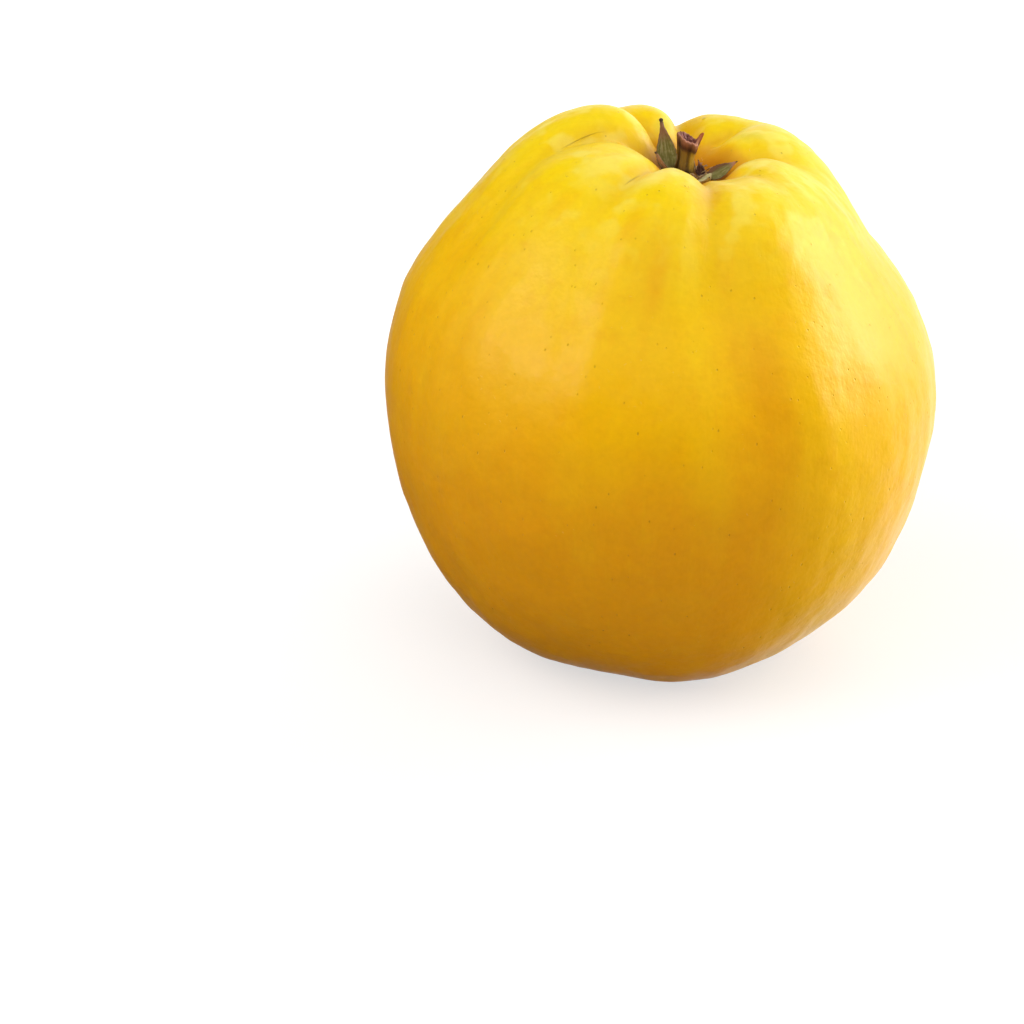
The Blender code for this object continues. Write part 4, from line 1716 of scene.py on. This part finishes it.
@dataclass(frozen=True)
class StemFinish:
    """Torn woody stem: greenish yellow above, pinkish brown at its ragged end."""

    green: Triple = tone(168, 150, 70)
    bark: Triple = tone(132, 92, 60)
    wood: Triple = tone(196, 160, 122)
    dark: Triple = tone(70, 42, 26)

    def material(self) -> bpy.types.Material:
        """Builds the material.

        Returns:
            The material.
        """
        wood = Finish("torn_stem_wood")
        spot = wood.spot()
        reach, t, _ = wood.split(wood.read_vector("stem"))
        blotch = wood.noise(spot, 1.2 * MM, 3.0, 0.6)
        fibre = wood.noise(wood.spot((0.0, 0.0, 0.0), (1.0, 1.0, 0.12)), 0.3 * MM, 3.0, 0.6)
        inside = wood.smooth_step(0.97, 0.85, reach) * wood.smooth_step(0.985, 1.0, t)
        colour = wood.paint(
            self.green,
            (wood.smooth_step(0.35, 0.85, t + blotch * 0.15), self.bark),
            (inside * 0.8, self.wood),
            (wood.smooth_step(0.1, 0.9, fibre) * 0.5, self.dark),
        )
        roughness = 0.80 + blotch * 0.08
        normal = wood.bumps(fibre, 0.12 * MM)
        return wood.close(colour, roughness, normal, Specular_IOR_Level=0.3)


@dataclass(frozen=True)
class FibreFinish:
    """Fine dry fibres, unevenly coloured between two tones."""

    first: Triple
    second: Triple
    size: float

    def material(self, name: str) -> bpy.types.Material:
        """Builds the material.

        Args:
            name: its name.

        Returns:
            The material.
        """
        fibre = Finish(name)
        spot = fibre.spot()
        cloud = fibre.noise(spot, self.size, 2.0, 0.6)
        colour = fibre.blend(fibre.smooth_step(-0.5, 0.5, cloud), self.first, self.second)
        roughness = 0.6 + cloud * 0.1
        normal = fibre.bumps(fibre.noise(spot, self.size / 4, 1.0), 0.01 * MM)
        return fibre.close(colour, roughness, normal, Sheen_Weight=0.3, Sheen_Roughness=0.5)


# ---------------------------------------------------------------------------------------------------
# The studio
# ---------------------------------------------------------------------------------------------------


class Sees(Enum):
    """What a lamp adds to the fruit."""

    LIGHT_ONLY = (True, False)
    SHINE_ONLY = (False, True)


@dataclass(frozen=True)
class SoftBox:
    """An oval lamp that looks at the fruit."""

    name: str
    azimuth: float
    elevation: float
    distance: float
    size: Pair
    power: float
    colour: Triple
    adds: Sees

    def hang(self, aim: Vector) -> None:
        """Hangs the lamp.

        Args:
            aim: the point that it looks at.
        """
        data = bpy.data.lights.new(self.name, "AREA")
        data.shape = "ELLIPSE"
        data.size, data.size_y = self.size
        data.energy = self.power
        data.color = self.colour
        lamp = bpy.data.objects.new(self.name, data)
        bpy.context.scene.collection.objects.link(lamp)
        a, e = math.radians(self.azimuth), math.radians(self.elevation)
        back = Vector((math.sin(a) * math.cos(e), -math.cos(a) * math.cos(e), math.sin(e)))
        lamp.location = aim + back * self.distance
        lamp.rotation_euler = back.to_track_quat("Z", "Y").to_euler()
        lamp.visible_diffuse, lamp.visible_glossy = self.adds.value


@dataclass
class Studio:
    """Pale floor, a dim room with one white wall, soft lamps and the camera."""

    lamps: tuple[SoftBox, ...] = (
        SoftBox("key_box", 112, 10, 0.60, (0.45, 0.45), 1.75, (1.0, 0.97, 0.93), Sees.LIGHT_ONLY),
        SoftBox("key_shine", 101, 25, 0.58, (0.33, 0.36), 2.95, (1.0, 0.93, 0.86), Sees.SHINE_ONLY),
        SoftBox("left_box", -62, 37, 0.60, (0.40, 0.40), 0.6, (1.0, 0.97, 0.93), Sees.LIGHT_ONLY),
        SoftBox("left_shine", -62, 34, 0.62, (0.17, 0.19), 1.15, (1.0, 0.86, 0.72), Sees.SHINE_ONLY),
        SoftBox("top_fill", 4, 64, 0.75, (0.90, 0.90), 3.2, (1.0, 0.98, 0.94), Sees.LIGHT_ONLY),
        SoftBox("low_fill", 30, 10, 0.80, (0.60, 0.60), 1.80, (1.0, 0.97, 0.92), Sees.LIGHT_ONLY),
        SoftBox("left_fill", -84, 34, 0.75, (0.80, 0.80), 2.85, (1.0, 0.97, 0.93), Sees.LIGHT_ONLY),
        SoftBox("right_fill", 98, -4, 0.70, (0.50, 0.50), 3.3, (1.0, 0.98, 0.95), Sees.LIGHT_ONLY),
    )
    room_glow: float = 0.02
    wall_glow: float = 1.7
    wall_azimuth: float = math.radians(142)
    wall_rise: Pair = (0.35, 0.9)
    floor_radius: float = 3.0
    floor_sides: int = 96
    floor_share: float = 0.45
    floor_glow: float = 0.62
    clear_rise: Pair = (0.10, 0.34)
    camera_tilt: float = math.radians(25)
    lens_mm: float = 100.0
    sensor_mm: float = 36.0
    fruit_share: float = 0.5322
    aim_height: float = 46.0 * MM
    aim_right: float = 0.2706
    aim_up: float = 0.2330

    def floor(self) -> None:
        """Lays the floor: pale, catching the fruit's shadow, and evenly white further out."""
        finish = Finish("pale_floor")
        tree = finish.tree
        diffuse = finish.add("ShaderNodeBsdfDiffuse", {"Color": (*[self.floor_share] * 3, 1.0)})
        path = finish.add("ShaderNodeLightPath", {})
        out = finish.measure("LENGTH", finish.spot())
        far = finish.smooth_step(*self.clear_rise, out)
        strength = finish.out(path, "Is Camera Ray") * (far * (1.0 - self.floor_glow) + self.floor_glow)
        glow = finish.add("ShaderNodeEmission", {"Color": (1.0, 1.0, 1.0, 1.0), "Strength": strength})
        both = finish.add("ShaderNodeAddShader", {})
        tree.links.new(diffuse.outputs[0], both.inputs[0])
        tree.links.new(glow.outputs[0], both.inputs[1])
        tree.links.new(both.outputs[0], tree.nodes["Material Output"].inputs[0])
        made = bpy.data.meshes.new("floor")
        angles = [TURN * step / self.floor_sides for step in range(self.floor_sides)]
        corners = [Vector((math.cos(a), math.sin(a), 0)) * self.floor_radius for a in angles]
        made.from_pydata(corners, [], [list(range(self.floor_sides))])
        made.materials.append(finish.made)
        floor = bpy.data.objects.new("floor", made)
        bpy.context.scene.collection.objects.link(floor)
        floor.visible_glossy = False

    def surroundings(self) -> None:
        """Sets the dim room round the fruit and the white wall behind it to the right."""
        world = bpy.data.worlds.new("white_surroundings")
        world.use_nodes = True
        bpy.context.scene.world = world
        graph = Graph(world.node_tree)
        seen = graph.value("ShaderNodeLightPath", {}, "Is Camera Ray")
        looks = graph.value("ShaderNodeTexCoord", {}, "Generated")
        wall = (math.sin(self.wall_azimuth), -math.cos(self.wall_azimuth), 0.0)
        facing = graph.measure("DOT_PRODUCT", looks, wall)
        glow = graph.smooth_step(*self.wall_rise, facing) * (self.wall_glow - self.room_glow)
        strength = (glow + self.room_glow) * (1.0 - seen) + seen
        background = world.node_tree.nodes["Background"]
        background.inputs["Color"].default_value = (1.0, 1.0, 1.0, 1.0)
        world.node_tree.links.new(strength.socket, background.inputs["Strength"])

    def camera(self) -> None:
        """Sets the camera up in front, looking down at the fruit, which fills the upper right."""
        data = bpy.data.cameras.new("camera")
        data.lens, data.sensor_width = self.lens_mm, self.sensor_mm
        camera = bpy.data.objects.new("camera", data)
        bpy.context.scene.collection.objects.link(camera)
        low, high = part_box("fruit")
        across = round(high.x - low.x, 3)
        forward = Vector((0, math.cos(self.camera_tilt), -math.sin(self.camera_tilt)))
        up = Vector((0, math.sin(self.camera_tilt), math.cos(self.camera_tilt)))
        view_width = across / self.fruit_share
        distance = view_width * self.lens_mm / self.sensor_mm
        camera.location = Vector((0, 0, self.aim_height)) - forward * distance
        camera.location -= Vector((across * self.aim_right, 0, 0)) + up * (across * self.aim_up)
        camera.rotation_euler = (math.pi / 2 - self.camera_tilt, 0, 0)
        bpy.context.scene.camera = camera

    def build(self) -> None:
        """Sets up the whole studio."""
        self.floor()
        self.surroundings()
        for lamp in self.lamps:
            lamp.hang(Vector((0, 0, self.aim_height)))
        self.camera()
        bpy.context.scene.view_settings.view_transform = "Standard"


# ---------------------------------------------------------------------------------------------------
# Putting it together
# ---------------------------------------------------------------------------------------------------

GREEN_GREY = SepalFinish(
    tone(110, 108, 52), tone(186, 182, 132), tone(128, 90, 62), tone(146, 98, 72), 0.52
)
OLIVE = SepalFinish(
    tone(112, 110, 50), tone(168, 162, 108), tone(104, 54, 40), tone(196, 140, 116), 0.62, -1.0
)
PALE = SepalFinish(tone(190, 184, 124), tone(212, 208, 162), tone(160, 140, 92), tone(172, 154, 106), 0.80)
BROWN = SepalFinish(tone(136, 92, 46), tone(206, 170, 112), tone(92, 56, 32), tone(160, 112, 70), 0.50)
# Dark plum brown with a pink top: the withered sepal's own dark colour deepened with painted shade, and a
# painted highlight on its top.
PLUM = SepalFinish(tone(66, 34, 22), tone(104, 62, 46), tone(48, 22, 16), tone(178, 120, 100), 0.62)

BLADES = (
    Blade("sepal_left", "dry_green_sepal",
          ((-4.5, 0.2, 1.3), (-5.0, 0.1, 3.6), (-5.3, 0.4, 6.5), (-6.1, 0.6, 9.9)),
          (0.25, -0.97, 0.0), 1.85, GREEN_GREY, 0.36, 1.0),
    Blade("sepal_right", "dry_green_sepal",
          ((2.1, -1.0, 0.9), (3.9, -0.7, 1.8), (5.4, -0.2, 2.8), (7.0, 0.2, 3.7)),
          (0.0, -0.6, 0.8), 1.25, OLIVE, 0.10, 2.0),
    Blade("sepal_front_right", "pale_sepal",
          ((1.0, -1.9, 1.0), (1.5, -2.9, 1.2), (1.9, -3.9, 1.6), (2.1, -4.8, 2.4)),
          (-0.3, -0.4, 1.0), 1.5, PALE, 0.10, 3.0),
    Blade("sepal_front_left", "brown_sepal",
          ((-2.6, -2.2, 0.8), (-4.3, -2.6, 1.6), (-5.9, -2.1, 3.1), (-6.9, -1.5, 4.8)),
          (0.6, 0.3, 0.8), 0.9, BROWN, 0.10, 4.0),
    Blade("sepal_withered", "dark_sepal",
          ((0.7, 0.5, 0.5), (1.0, 0.7, 1.2), (0.9, 0.8, 2.0), (0.4, 0.8, 3.2)),
          (0.2, -1.0, 0.2), 0.85, PLUM, 0.10, 5.0),
)


def fit(piece: bpy.types.Object, slot: str, *nodes: str) -> None:
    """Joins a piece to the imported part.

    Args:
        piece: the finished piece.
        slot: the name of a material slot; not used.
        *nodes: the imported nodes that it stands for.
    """
    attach(piece, "root")
    if nodes:
        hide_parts(*nodes)
    LOG.info("%s: %d faces, stands for %s", piece.name, len(piece.data.polygons), nodes or "no node")


def main() -> None:
    """Builds the studio and the quince piece by piece, and logs each piece's face count."""
    logging.basicConfig(level=logging.INFO, format="%(message)s")
    Studio().build()
    stance = Stance()
    skin = Skin().build(stance, SkinFinish().material())
    fit(skin, "golden_skin", "fruit")
    fit(StyleColumn().build(stance, ColumnFinish().material()), "withered_style", "style_column")
    for blade, piece in zip(BLADES, Sepals(BLADES).build(stance)):
        fit(piece, blade.slot, blade.name)
    fit(StemStub().build(stance, StemFinish().material()), "stem", "stem_stub")
    fibres = FibreFinish(tone(70, 42, 24), tone(206, 172, 112), 0.9 * MM)
    fit(Stamens().build(stance, fibres.material("dried_filament")), "withered_style")
    hairs = FibreFinish(tone(250, 214, 120), tone(255, 236, 170), 6.0 * MM)
    fit(Down().build(skin, hairs.material("pale_hair")), "golden_skin")


if __name__ == "__main__":
    main()
